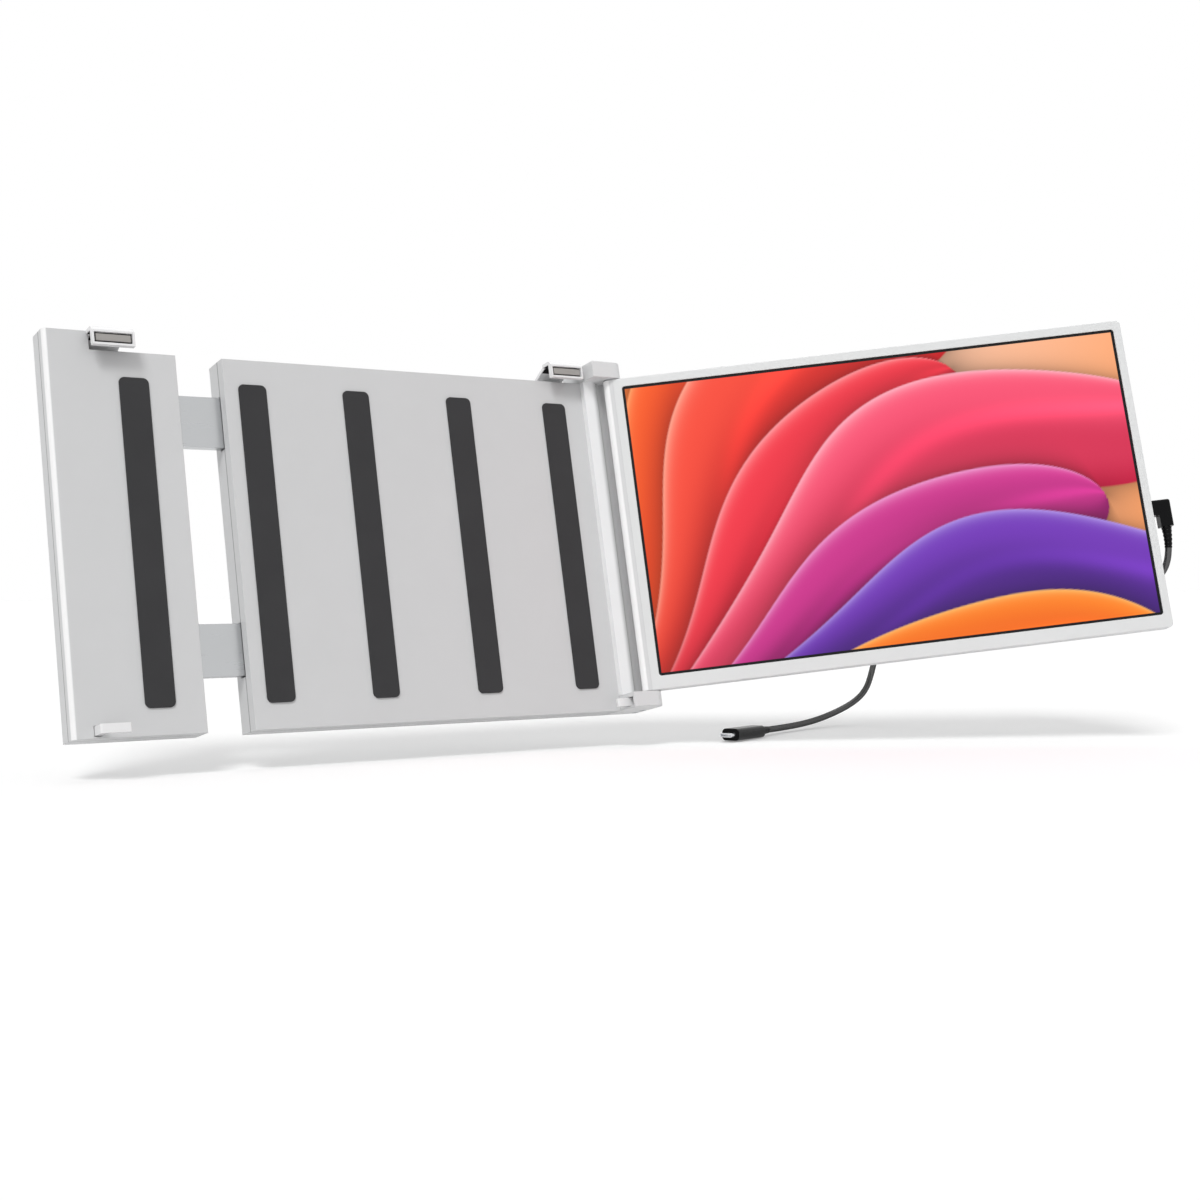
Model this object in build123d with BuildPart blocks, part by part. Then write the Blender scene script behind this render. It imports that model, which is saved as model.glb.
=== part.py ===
from build123d import *
import math
import os

# Laptop screen extender: a two-part bracket that spreads to the width of a laptop lid, sprung
# hooks that hold the lid, and one slim monitor on a vertical friction hinge at the right.
# Millimetres. The bracket is drawn upright: +X right, +Y away from the viewer, +Z up, with the
# origin on the rubber pad where the back of the lid rests. At the end everything is leaned back
# with the lid, so that in the written parts +Z is truly up.

# ---------------------------------------------------------------- bracket
lean_angle = 12.0            # how far the open lid leans back from upright
housing_drop = 10.0          # the stretch behind the lid ends this far below the top
bracket_left = -174.0        # outer side of the sliding arm
lid_left = -150.2            # where the arm disappears behind the lid
arm_right = -104.0           # inner end of the sliding arm
housing_left = -78.0         # inner end of the fixed housing
housing_right = 153.5        # where the housing meets the hinge column
pad_thickness = 0.8          # the rubber pads stand this far in front of the covers
cover_depth = 6.6            # front cover, from its face to the seam
housing_depth = 17.7
wall = 2.2
end_wall = 4.4
long_edge_radius = 3.0
pad_inset = 14.0
pad_width = 16.0
pad_corner = 3.0
housing_pad_x = (-62.0, 0.0, 66.0, 132.0)
arm_pad_x = -128.0
housing_screw_x = (-66.0, 30.0, 118.0)
housing_middle_screw_x = 84.0
arm_screw_x = (-164.0, -114.0)
housing_screw_foot_inset = 14.0
arm_screw_foot_inset = 18.0
top_screw_inset = 12.0       # below the top of the stretch behind the lid
corner_screw_inset = 14.0    # below the top of the arm's outer corner

# ---------------------------------------------------------------- sliding bars and channels
bar_inset = 20.0             # from the housing's top down to the upper bar
bar_height = 28.0
bar_thickness = 5.0
bar_setback = 6.8            # from the face of the front cover to the bar
bar_arm_length = 46.0
bar_reach = 126.0            # how far the bars stand out of the arm
bar_fit = 0.25
bar_opening_fit = 0.6
bar_opening_reach = 0.5      # the bar openings are cut this far past the end wall
channel_wall = 1.6
channel_lip = 4.0
channel_left = -75.5
channel_right = 64.0
channel_screw_x = (-62.0, -4.0, 52.0)
pedestal_width = 20.0
pedestal_height = 22.0
bar_screw_x = -116.0
bar_screw_spread = 6.0       # above and below the middle of the bar

# ---------------------------------------------------------------- sprung lid hooks on top
lid_gap = 6.0                # thickest lid edge that the hooks take
hook_width = 22.5
hook_lip_wall = 3.0
hook_sheet = 2.0
hook_drop = 10.2             # the lip ends just above the closed monitor
hook_chamfer = 2.3
hook_flat_back = 3.0         # where the flat top starts to slope down to the stem
hook_shoulder_drop = 6.0
hook_neck_width = 18.0       # behind the lid's plane the hook is narrower
hook_neck_y = 0.2
hook_rest_gap = 0.6          # from the housing's top to the shoulders of the stem
hook_fit = 0.3
left_hook_x = -140.2
right_hook_x = 138.8
stem_width = 16.0
stem_setback = 0.9           # from the housing's back wall
stem_length = 62.0
grip_height = 3.6
grip_drop = 6.2              # middle of the rubber grip below the top
grip_gap = 1.0
grip_recess = 1.3
grip_margin = 1.1
grip_sunk = 0.3
hook_spring_length = 26.0
spring_radius = 1.5
spring_wire = 0.35
spring_pitch = 2.2
anchor_radius = 1.5
anchor_reach = 1.0           # the spring's post stands this far in front of the stem
guide_wall = 1.6
guide_rise = 2.0             # from the upper bar to the guide
guide_height = 12.0
guide_ear = 6.0
pair_shares = (0.25, 0.75)   # where two screws sit along an ear or a leaf

# ---------------------------------------------------------------- sprung side hooks at the foot
side_hook_height = 4.8
side_hook_wall = 2.7
side_hook_rise = 3.8         # middle of the hook above the bracket's foot
side_hook_left = (-162.7, -146.6)
side_hook_right = (146.2, 158.6)
side_hook_nose = 1.2
side_stem_width = 3.4
side_stem_reach = 8.6        # from the front cover's face to the stem's foot
side_foot_width = 6.6
side_foot_thickness = 1.6
side_hook_travel = 4.0
side_fit = 0.3
side_room_depth = 14.6

# ---------------------------------------------------------------- hinge
axis_x = 170.0
axis_y = -8.0
open_angle = 33.0            # the monitor is swung this far forward of the lid's plane
top_block_height = 10.0
bottom_block_height = 9.0
block_radius = 6.5
block_edge = 0.8
column_front_y = -3.0        # just behind the closed monitor
column_groove_radius = 9.0
column_slope_rise = 1.4      # the column falls away so that the monitor can swing back
column_cavity = (160.0, 169.5, 5.0, 15.0)
block_gap_left = 0.2         # the blocks stand this far off the housing
block_screws = [(173.0, 6.5), (173.0, 14.0)]
block_screw_length = 18.0    # through the block and well into the column
pin_radius = 2.0
pin_fit = 0.05
pin_block_depth = 6.5
pin_knuckle_depth = 9.5
block_gap = 0.4              # between a hinge block and the monitor
washer_thickness = 0.3
washer_radius = 3.9

# ---------------------------------------------------------------- monitor, in its own frame
# The hinge axis is the monitor's origin, +X runs along the screen, +Y is its back.
monitor_thickness = 9.0
shell_wall = 1.6
bezel_face = 0.8
bezel_seam_x = 1.6
shell_seam_y = -0.5
monitor_corner = 3.0
picture_width = 301.0
picture_height = 175.5
left_margin = 8.2
right_margin = 6.5
top_margin = 6.9
bottom_margin = 9.8
mask_border = 1.7
glass_overlap = 1.5
glass_thickness = 1.4
backlight_thickness = 1.6
chassis_thickness = 0.8
chassis_margin = 0.5         # the chassis and backlight are this much smaller than the glass
window_corner = 1.8
bezel_edge = 0.5
cover_edge = 0.8
barrel_solid = 6.0           # the back cover is solid this far from the axis
knuckle_radius = 3.2
knuckle_height = 10.0
knuckle_fit = 0.2
leaf_thickness = 1.4
leaf_reach = 32.0
leaf_height = 28.0
leaf_screw_x = (16.0, 26.0)
monitor_screw_columns = 4
monitor_screw_left = 36.0    # first column, from the hinge axis
monitor_screw_right = 13.7   # last column, from the right edge
monitor_screw_inset = 12.0   # from the upper and lower edges
boss_root = 0.5              # the bosses reach this far into the back wall

board_length = 86.4
board_height = 66.0
board_rise = 18.6            # above the monitor's lower edge
board_thickness = 1.0
standoff_height = 0.8
standoff_radius = 2.2
standoff_inset = 4.0
chip_height = 0.9
chip_sink = 0.2
chips = [(24.0, 42.0, 14.0, 14.0), (50.0, 20.0, 9.0, 7.0), (62.0, 44.0, 10.0, 10.0)]
ribbon_start = 28.0          # from the board's left end
ribbon_width = 30.0
ribbon_thickness = 0.2
ribbon_lap = 4.0             # on the driver board
ribbon_drop = 1.6            # below the glass's lower edge
port_y = 1.25                # middle of the ports and buttons, towards the back
usb_port_rise = (55.0, 33.0)  # above the board's lower edge
usb_port_width = 9.0
port_height = 3.2
port_wall = 0.3
port_depth = 7.3
port_fit = 0.15
port_corner = 1.5
port_relief = 0.4            # between the chassis and the inner end of the ports
tongue_margin = 1.75         # from the side of a port to its tongue
tongue_thickness = 0.7
tongue_length = 4.6
video_port_rise = 12.0
video_port_width = 11.4

button_z = (42.0, 26.0, 14.0)
button_lengths = (10.0, 7.0, 7.0)
button_height = 2.2
button_proud = 0.6
button_travel = 0.5
button_fit = 0.15
button_corner = 1.0
button_flange = 1.2
button_flange_edge = 0.4
button_seat_gap = 0.1
switch_gap = 0.1             # left between button and switch when it is pressed
switch_length = 3.4
switch_share = 0.5           # height of a switch as a share of its button's
key_board_width = 6.5
key_board_setback = 6.2      # from the monitor's right edge
key_board_z = (8.0, 50.0)

speaker_left = 58.0          # middle of the left one, from the hinge axis
speaker_right = 46.0         # middle of the right one, from the driver board
speaker_rise = 16.6          # above the monitor's lower edge
speaker_length = 32.0
speaker_height = 12.0
speaker_depth = 2.2
slot_count = 7
slot_pitch = 4.0
slot_width = 1.4
slot_height = 8.0

# ---------------------------------------------------------------- screws
head_radius = 2.2
head_depth = 1.2
shank_radius = 1.1
screw_fit = 0.05
boss_radius = 3.2
small_head_radius = 1.7
small_head_depth = 0.7
small_shank_radius = 0.8
small_boss_radius = 2.4
socket_share = 0.5           # the hexagon socket, as a share of the head
socket_depth_share = 0.6
blind_skin = 1.0             # left under a blind screw hole
screw_end_gap = 0.2
head_sink = 0.1
bar_corner = 3.0
pin_chamfer = 0.3
leaf_tip_y = 4.0             # the leaf screws end inside the cover's back wall
button_dome = 0.4
laptop_plug_edge = 2.6

# ---------------------------------------------------------------- cord and plugs
cord_radius = 2.0
plug_gap = 0.3
plug_width = 11.8
plug_thickness = 7.0
plug_height = 16.6
plug_neck_height = 9.4
plug_elbow = 3.8             # the cord leg starts this far from the neck's face
plug_edge = 1.4
plug_shell_width = 8.3
plug_shell_thickness = 2.5
plug_shell_length = 6.4
plug_shell_wall = 0.55
plug_shell_corner = 1.15
plug_shell_hollow = 5.0      # depth of the shell's mouth
laptop_plug_length = 38.0
laptop_plug_width = 11.5
laptop_plug_thickness = 7.4
# Route of the cord in the leaned frame, after a straight start below the plug: back behind the
# monitor, down to the table under the laptop, and along the table to the laptop's side.
cord_start_run = 15.0
cord_route = [
    (441.0, -184.0, -27.0),
    (434.0, -163.0, -40.0),
    (425.0, -131.0, -46.5),
    (415.0, -94.0, -49.5),
    (406.0, -58.0, -54.0),
    (393.0, -27.0, -59.0),
    (389.5, 0.5, -65.0),
    (388.0, 12.0, -79.5),
    (387.5, 15.0, -90.5),
    (383.0, 15.5, -101.5),
    (375.0, 18.0, -109.5),
    (358.0, 19.0, -116.3),
    (329.0, 10.0, -120.6),
    (295.0, -2.0, -122.0),
    (258.0, -20.0, -121.3),
]
cord_bend_share = 0.45       # of the shorter run beside each bend, used by its arc

# ---------------------------------------------------------------- worked-out places
# The monitor fills the height between the two hinge blocks, and so sets the bracket's height.
monitor_height = bottom_margin + picture_height + top_margin
bracket_height = top_block_height + bottom_block_height + 2 * block_gap + monitor_height
top = bracket_height / 2
foot = -bracket_height / 2
housing_top = top - housing_drop
front_y = pad_thickness
inner_front_y = front_y + wall
seam_y = front_y + cover_depth
back_y = front_y + housing_depth
inner_back_y = back_y - wall
bar_offset = housing_top - bar_inset - bar_height / 2
guide_foot = bar_offset + bar_height / 2 + guide_rise
bar_front_y = front_y + bar_setback
bar_back_y = bar_front_y + bar_thickness
bar_left = arm_right - bar_arm_length
bar_right = arm_right + bar_reach
hook_front_y = -lid_gap - hook_lip_wall
stem_back_y = inner_back_y - stem_setback
stem_front_y = stem_back_y - hook_sheet
stem_bottom = top - stem_length
anchor_z = stem_bottom - hook_spring_length - anchor_radius
grip_z = top - grip_drop
side_hook_z = foot + side_hook_rise
side_stem_end_y = front_y + side_stem_reach
side_room_back_y = front_y + side_room_depth
side_hook_pulled_y = -lid_gap - side_hook_wall - side_hook_travel - side_fit
block_front_y = axis_y - block_radius
block_left = housing_right + block_gap_left
block_right = axis_x + block_radius
column_top = top - top_block_height
column_foot = foot + bottom_block_height
channel_front_y = bar_front_y - bar_fit - channel_wall
channel_back_y = bar_back_y + bar_fit + channel_wall
channel_head_y = bar_back_y + bar_fit + head_sink
blind_y = back_y - blind_skin
bar_tip_y = blind_y - screw_end_gap
cover_hole_y = inner_front_y + blind_skin
cover_tip_y = cover_hole_y + screw_end_gap
block_hole_length = block_screw_length + screw_end_gap
screw_sizes = (head_radius, head_depth, shank_radius)
small_screw_sizes = (small_head_radius, small_head_depth, small_shank_radius)
bar_screws = [
    (bar_screw_x, side * bar_offset + spread)
    for side in (1, -1) for spread in (bar_screw_spread, -bar_screw_spread)
]
channel_screws = [(x, side * bar_offset) for x in channel_screw_x for side in (1, -1)]
housing_screws = [
    (x, z) for x in housing_screw_x for z in (foot + housing_screw_foot_inset, housing_top - top_screw_inset)
] + [(housing_middle_screw_x, 0.0)]
arm_screws = [
    (arm_screw_x[0], foot + arm_screw_foot_inset), (arm_screw_x[0], 0.0),
    (arm_screw_x[0], top - corner_screw_inset),
    (arm_screw_x[1], foot + arm_screw_foot_inset), (arm_screw_x[1], housing_top - top_screw_inset),
]

half_thickness = monitor_thickness / 2
monitor_top = column_top - block_gap
monitor_foot = column_foot + block_gap
monitor_right = left_margin + picture_width + right_margin
picture_right = left_margin + picture_width
picture_foot = monitor_foot + bottom_margin
picture_top = picture_foot + picture_height
glass_front_y = -half_thickness + bezel_face
glass_back_y = glass_front_y + glass_thickness
backlight_back_y = glass_back_y + backlight_thickness
chassis_back_y = backlight_back_y + chassis_thickness
cavity_back_y = half_thickness - shell_wall
cavity_right = monitor_right - shell_wall
cavity_foot = monitor_foot + shell_wall
cavity_top = monitor_top - shell_wall
board_front_y = chassis_back_y + standoff_height
board_back_y = board_front_y + board_thickness
board_right = monitor_right - port_depth
board_left = board_right - board_length
board_foot = monitor_foot + board_rise
board_top = board_foot + board_height
usb_port_z = [board_foot + rise for rise in usb_port_rise]
video_port_z = board_foot + video_port_rise
ribbon_left = board_left + ribbon_start
speaker_x = (speaker_left, board_left - speaker_right)
speaker_z = monitor_foot + speaker_rise
key_board_right = monitor_right - key_board_setback
key_board_left = key_board_right - key_board_width
glass_left = left_margin - mask_border - glass_overlap
glass_right = picture_right + mask_border + glass_overlap
glass_foot = picture_foot - mask_border - glass_overlap
glass_top = picture_top + mask_border + glass_overlap
leaf_front_y = cavity_back_y - leaf_thickness
chassis_tip_y = backlight_back_y + screw_end_gap
flange_face_x = cavity_right - button_seat_gap
switch_face_x = flange_face_x - button_flange - button_travel - switch_gap
plug_face_x = monitor_right + plug_gap
plug_top = usb_port_z[0] + plug_neck_height / 2
plug_foot = plug_top - plug_height
cord_exit = (plug_face_x + (plug_elbow + plug_width) / 2, port_y, plug_foot)
screw_stretch = monitor_right - monitor_screw_right - monitor_screw_left
monitor_screws = [
    (monitor_screw_left + screw_stretch * column / (monitor_screw_columns - 1), z)
    for column in range(monitor_screw_columns)
    for z in (monitor_top - monitor_screw_inset, monitor_foot + monitor_screw_inset)
]
board_posts = [
    (x, z)
    for x in (board_left + standoff_inset, board_right - standoff_inset)
    for z in (board_foot + standoff_inset, board_top - standoff_inset)
]
key_board_posts = [
    ((key_board_left + key_board_right) / 2, z)
    for z in (key_board_z[0] + standoff_inset, key_board_z[1] - standoff_inset)
]

lean_back = Location((0, 0, 0), (-lean_angle, 0, 0))
hang_monitor = lean_back * Location((axis_x, axis_y, 0), (0, 0, -open_angle))


def write_part(part, name, place=lean_back):
    """Puts one finished piece in its leaned place and writes it as one STEP file."""
    placed = part.moved(place)
    placed.label = name
    export_step(placed, f"parts/{name}.step")


def box_between(low, high, mode=Mode.ADD):
    """A box between its lowest and highest corners, inside a builder block."""
    size = [b - a for a, b in zip(low, high)]
    with Locations(tuple((a + b) / 2 for a, b in zip(low, high))):
        Box(*size, mode=mode)


def facing_back(x, y, z):
    """A sketch plane whose normal is +Y, with its own X along the bracket's X."""
    return Plane(origin=(x, y, z), x_dir=(1, 0, 0), z_dir=(0, 1, 0))


def rods(places, radius, low_y, high_y, mode=Mode.ADD):
    """Round rods or holes along Y, one at each (x, z), inside a builder block."""
    for x, z in places:
        with BuildSketch(facing_back(x, low_y, z)) as rod:
            Circle(radius)
        extrude(rod.sketch, amount=high_y - low_y, mode=mode)


def upright_rods(places, radius, low_z, high_z, mode=Mode.ADD):
    """Round rods or holes along Z, one at each (x, y), inside a builder block."""
    for x, y in places:
        with BuildSketch(Plane.XY.offset(low_z)) as rod:
            with Locations((x, y)):
                Circle(radius)
        extrude(rod.sketch, amount=high_z - low_z, mode=mode)


def coil(length, place):
    """A coil spring between two faces that far apart, starting at place and running along its +Z."""
    rise = length - 2 * spring_wire
    line = Helix(pitch=rise / round(rise / spring_pitch), height=rise, radius=spring_radius)
    with BuildPart() as spring:
        with BuildSketch(Plane(origin=line @ 0, z_dir=line % 0)) as wire:
            Circle(spring_wire)
        sweep(wire.sketch, path=line, is_frenet=True)
    return spring.part.moved(place * Location((0, 0, spring_wire)))


os.makedirs("parts", exist_ok=True)

# ================================================================ housings
housing_outline = [
    (housing_left, foot), (housing_right, foot),
    (housing_right, housing_top), (housing_left, housing_top),
]
housing_inside = [
    (housing_left + wall, foot + end_wall), (housing_right - wall, foot + end_wall),
    (housing_right - wall, housing_top - end_wall), (housing_left + wall, housing_top - end_wall),
]
arm_outline = [
    (bracket_left, foot), (arm_right, foot), (arm_right, housing_top),
    (lid_left, housing_top), (lid_left, top), (bracket_left, top),
]
arm_inside = [
    (bracket_left + wall, foot + end_wall), (arm_right - wall, foot + end_wall),
    (arm_right - wall, housing_top - end_wall), (lid_left - wall, housing_top - end_wall),
    (lid_left - wall, top - end_wall), (bracket_left + wall, top - end_wall),
]


def outline_prism(points, low_y, high_y, mode=Mode.ADD):
    """An outline in X and Z carried along Y, inside a builder block."""
    with BuildSketch(facing_back(0, low_y, 0)) as outline:
        with BuildLine():
            Polyline([(x, -z) for x, z in points], close=True)
        make_face()
    extrude(outline.sketch, amount=high_y - low_y, mode=mode)


def guide_screws(hook_x, ear_side):
    """Places of the two screws in the ear of a hook guide."""
    x = hook_x + ear_side * (stem_width / 2 + hook_fit + guide_wall + guide_ear / 2)
    return [(x, guide_foot + guide_height * share) for share in pair_shares]


def open_for_bars(low_x, high_x, low_y, high_y):
    """Openings in an end wall where the two sliding bars pass."""
    for side in (1, -1):
        middle = side * bar_offset
        reach = bar_height / 2 + bar_opening_fit
        box_between(
            (low_x, max(low_y, bar_front_y - bar_opening_fit), middle - reach),
            (high_x, min(high_y, bar_back_y + bar_opening_fit), middle + reach),
            mode=Mode.SUBTRACT,
        )


def open_for_stem(hook_x):
    """The slot in the top wall where a hook's stem slides."""
    box_between(
        (hook_x - stem_width / 2 - hook_fit, stem_front_y - hook_fit, housing_top - end_wall - 1),
        (hook_x + stem_width / 2 + hook_fit, stem_back_y + hook_fit, housing_top + 1),
        mode=Mode.SUBTRACT,
    )


def open_for_side_stem(stem_x, low_y):
    """The hole from the front and the room behind it for a side hook's stem, foot and spring."""
    reach = side_hook_height / 2 + side_fit
    for width, near_y, far_y in (
        (side_stem_width, low_y, inner_front_y + 1),
        (side_foot_width, inner_front_y, side_room_back_y),
    ):
        box_between(
            (stem_x - side_fit, near_y, side_hook_z - reach),
            (stem_x + width + side_fit, far_y, side_hook_z + reach),
            mode=Mode.SUBTRACT,
        )


with BuildPart() as housing_cover:
    outline_prism(housing_outline, front_y, seam_y)
    outline_prism(housing_inside, inner_front_y, seam_y + 1, mode=Mode.SUBTRACT)
    rods(housing_screws, boss_radius, inner_front_y, seam_y)
    rods(housing_screws, shank_radius + screw_fit, cover_hole_y, seam_y + 1, mode=Mode.SUBTRACT)
    open_for_bars(housing_left - 1, housing_left + wall + bar_opening_reach, seam_y - 2, seam_y + 1)

with BuildPart() as housing_shell:
    outline_prism(housing_outline, seam_y, back_y)
    outline_prism(housing_inside, seam_y - 1, inner_back_y, mode=Mode.SUBTRACT)
    rods(housing_screws, boss_radius, seam_y, inner_back_y)
    rods(housing_screws, shank_radius + screw_fit, seam_y - 1, back_y + 1, mode=Mode.SUBTRACT)
    rods(housing_screws, head_radius + screw_fit, back_y - head_depth, back_y + 1, mode=Mode.SUBTRACT)
    open_for_bars(housing_left - 1, housing_left + wall + bar_opening_reach, seam_y - 1, back_y)
    open_for_stem(right_hook_x)
    rods([(right_hook_x, anchor_z)], anchor_radius, stem_front_y - anchor_reach, inner_back_y)
    for x in channel_screw_x:
        for side in (1, -1):
            box_between(
                (x - pedestal_width / 4, channel_back_y, side * bar_offset - pedestal_height / 2),
                (x + pedestal_width / 4, inner_back_y, side * bar_offset + pedestal_height / 2),
            )
    rods(channel_screws, small_shank_radius + screw_fit, channel_back_y - 1, blind_y, mode=Mode.SUBTRACT)
    rods(guide_screws(right_hook_x, -1), small_shank_radius + screw_fit, inner_back_y - 1, blind_y,
         mode=Mode.SUBTRACT)

with BuildPart() as arm_cover:
    outline_prism(arm_outline, front_y, seam_y)
    fillet(arm_cover.edges().filter_by(Axis.Z).group_by(Axis.Y)[0].sort_by(Axis.X)[0], long_edge_radius)
    outline_prism(arm_inside, inner_front_y, seam_y + 1, mode=Mode.SUBTRACT)
    rods(arm_screws, boss_radius, inner_front_y, seam_y)
    rods(arm_screws, shank_radius + screw_fit, cover_hole_y, seam_y + 1, mode=Mode.SUBTRACT)
    open_for_bars(arm_right - wall - bar_opening_reach, arm_right + 1, seam_y - 2, seam_y + 1)
    open_for_side_stem(side_hook_left[0], front_y - 1)

with BuildPart() as arm_shell:
    outline_prism(arm_outline, seam_y, back_y)
    fillet(arm_shell.edges().filter_by(Axis.Z).group_by(Axis.Y)[-1].sort_by(Axis.X)[0], long_edge_radius)
    outline_prism(arm_inside, seam_y - 1, inner_back_y, mode=Mode.SUBTRACT)
    rods(arm_screws, boss_radius, seam_y, inner_back_y)
    for side in (1, -1):
        box_between(
            (arm_right - wall - pedestal_width, bar_back_y, side * bar_offset - pedestal_height / 2),
            (arm_right - wall, inner_back_y, side * bar_offset + pedestal_height / 2),
        )
    rods(arm_screws, shank_radius + screw_fit, seam_y - 1, back_y + 1, mode=Mode.SUBTRACT)
    rods(arm_screws, head_radius + screw_fit, back_y - head_depth, back_y + 1, mode=Mode.SUBTRACT)
    open_for_bars(arm_right - wall - bar_opening_reach, arm_right + 1, seam_y - 1, bar_back_y)
    open_for_stem(left_hook_x)
    open_for_side_stem(side_hook_left[0], front_y - 1)
    rods([(left_hook_x, anchor_z)], anchor_radius, stem_front_y - anchor_reach, inner_back_y)
    rods(bar_screws, shank_radius + screw_fit, bar_back_y - 1, blind_y, mode=Mode.SUBTRACT)
    rods(guide_screws(left_hook_x, 1), small_shank_radius + screw_fit, inner_back_y - 1, blind_y,
         mode=Mode.SUBTRACT)

write_part(housing_cover.part, "housing_front_cover")
write_part(housing_shell.part, "housing_rear_shell")
write_part(arm_cover.part, "arm_front_cover")
write_part(arm_shell.part, "arm_rear_shell")


def screws(places, head_y, tip_y, sizes):
    """Hexagon-socket screws along Y, one at each (x, z), from the top of the head to the tip."""
    radius, depth, shank = sizes
    inward = math.copysign(1, tip_y - head_y)
    neck_y = head_y + inward * depth
    socket_y = head_y + inward * depth * socket_depth_share
    with BuildPart() as group:
        rods(places, radius, min(head_y, neck_y), max(head_y, neck_y))
        rods(places, shank, min(neck_y, tip_y), max(neck_y, tip_y))
        for x, z in places:
            with BuildSketch(facing_back(x, min(head_y, socket_y), z)) as socket:
                RegularPolygon(radius * socket_share, 6)
            extrude(socket.sketch, amount=depth * socket_depth_share, mode=Mode.SUBTRACT)
    return group.part


write_part(screws(housing_screws, back_y, cover_tip_y, screw_sizes), "housing_screws")
write_part(screws(arm_screws, back_y, cover_tip_y, screw_sizes), "arm_screws")

# ================================================================ rubber pads on the face
with BuildPart() as housing_pads:
    for x in housing_pad_x:
        box_between(
            (x - pad_width / 2, 0, foot + pad_inset), (x + pad_width / 2, front_y, housing_top - pad_inset)
        )
    fillet(housing_pads.edges().filter_by(Axis.Y), pad_corner)

with BuildPart() as arm_pad:
    box_between(
        (arm_pad_x - pad_width / 2, 0, foot + pad_inset),
        (arm_pad_x + pad_width / 2, front_y, housing_top - pad_inset),
    )
    fillet(arm_pad.edges().filter_by(Axis.Y), pad_corner)

write_part(housing_pads.part, "housing_rubber_pads")
write_part(arm_pad.part, "arm_rubber_pad")


# ================================================================ sliding bars and their channels
def slide_bar(middle):
    """A flat bar that joins the arm to the housing, with its screw holes at the arm's end."""
    with BuildPart() as bar:
        box_between(
            (bar_left, bar_front_y, middle - bar_height / 2),
            (bar_right, bar_back_y, middle + bar_height / 2),
        )
        fillet(bar.edges().filter_by(Axis.Y).group_by(Axis.X)[-1], bar_corner)
        holes = [(x, z) for x, z in bar_screws if abs(z - middle) < bar_height / 2]
        rods(holes, shank_radius + screw_fit, bar_front_y - 1, bar_back_y + 1, mode=Mode.SUBTRACT)
        rods(holes, head_radius + screw_fit, bar_front_y - 1, bar_front_y + head_depth + screw_fit,
             mode=Mode.SUBTRACT)
    return bar.part


def slide_channel(middle):
    """A C-shaped guide round a bar, open at its front between two lips."""
    inner = bar_height / 2 + bar_fit
    outer = inner + channel_wall
    with BuildPart() as channel:
        box_between(
            (channel_left, channel_front_y, middle - outer), (channel_right, channel_back_y, middle + outer)
        )
        box_between(
            (channel_left - 1, bar_front_y - bar_fit, middle - inner),
            (channel_right + 1, bar_back_y + bar_fit, middle + inner),
            mode=Mode.SUBTRACT,
        )
        box_between(
            (channel_left - 1, channel_front_y - 1, middle - inner + channel_lip),
            (channel_right + 1, bar_front_y, middle + inner - channel_lip),
            mode=Mode.SUBTRACT,
        )
        holes = [(x, z) for x, z in channel_screws if abs(z - middle) < inner]
        rods(holes, small_shank_radius + screw_fit, bar_back_y, channel_back_y + 1, mode=Mode.SUBTRACT)
        rods(holes, small_head_radius + screw_fit, bar_back_y,
             channel_head_y + small_head_depth + screw_fit, mode=Mode.SUBTRACT)
    return channel.part


write_part(slide_bar(bar_offset), "upper_slide_bar")
write_part(slide_bar(-bar_offset), "lower_slide_bar")
write_part(slide_channel(bar_offset), "upper_slide_channel")
write_part(slide_channel(-bar_offset), "lower_slide_channel")
write_part(screws(bar_screws, bar_front_y, bar_tip_y, screw_sizes), "slide_bar_screws")
write_part(screws(channel_screws, channel_head_y, bar_tip_y, small_screw_sizes), "slide_channel_screws")


# ================================================================ sprung top hooks
def top_hook(hook_x):
    """A bent plate: lip in front of the lid, flat top over it, and a stem down into the bracket."""
    slope = hook_shoulder_drop / (stem_back_y - hook_flat_back)
    sheet_drop = hook_sheet * math.hypot(1, slope)
    inner_bend_y = hook_flat_back - (sheet_drop - hook_sheet) / slope
    inner_shoulder_z = top - sheet_drop - slope * (stem_front_y - hook_flat_back)
    with BuildPart() as hook:
        side_view = Plane(origin=(hook_x - hook_width / 2, 0, 0), x_dir=(0, 1, 0), z_dir=(1, 0, 0))
        with BuildSketch(side_view) as profile:
            with BuildLine():
                Polyline(
                    (hook_front_y, top - hook_drop), (hook_front_y, top - hook_chamfer),
                    (hook_front_y + hook_chamfer, top), (hook_flat_back, top),
                    (stem_back_y, top - hook_shoulder_drop), (stem_back_y, stem_bottom),
                    (stem_front_y, stem_bottom), (stem_front_y, inner_shoulder_z),
                    (inner_bend_y, top - hook_sheet), (-lid_gap, top - hook_sheet),
                    (-lid_gap, top - hook_drop),
                    close=True,
                )
            make_face()
        extrude(profile.sketch, amount=hook_width)
        for side in (1, -1):
            for half_width, high_z in (
                (hook_neck_width / 2, top + 1), (stem_width / 2, housing_top + hook_rest_gap),
            ):
                edges = sorted((hook_x + side * half_width, hook_x + side * hook_width))
                box_between(
                    (edges[0], hook_neck_y, stem_bottom - 1), (edges[1], stem_back_y + 1, high_z),
                    mode=Mode.SUBTRACT,
                )
        window = hook_width / 2 - grip_margin
        box_between(
            (hook_x - window, hook_front_y - 1, grip_z - grip_height / 2 - grip_gap),
            (hook_x + window, hook_front_y + grip_recess, grip_z + grip_height / 2 + grip_gap),
            mode=Mode.SUBTRACT,
        )
    return hook.part


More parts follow.
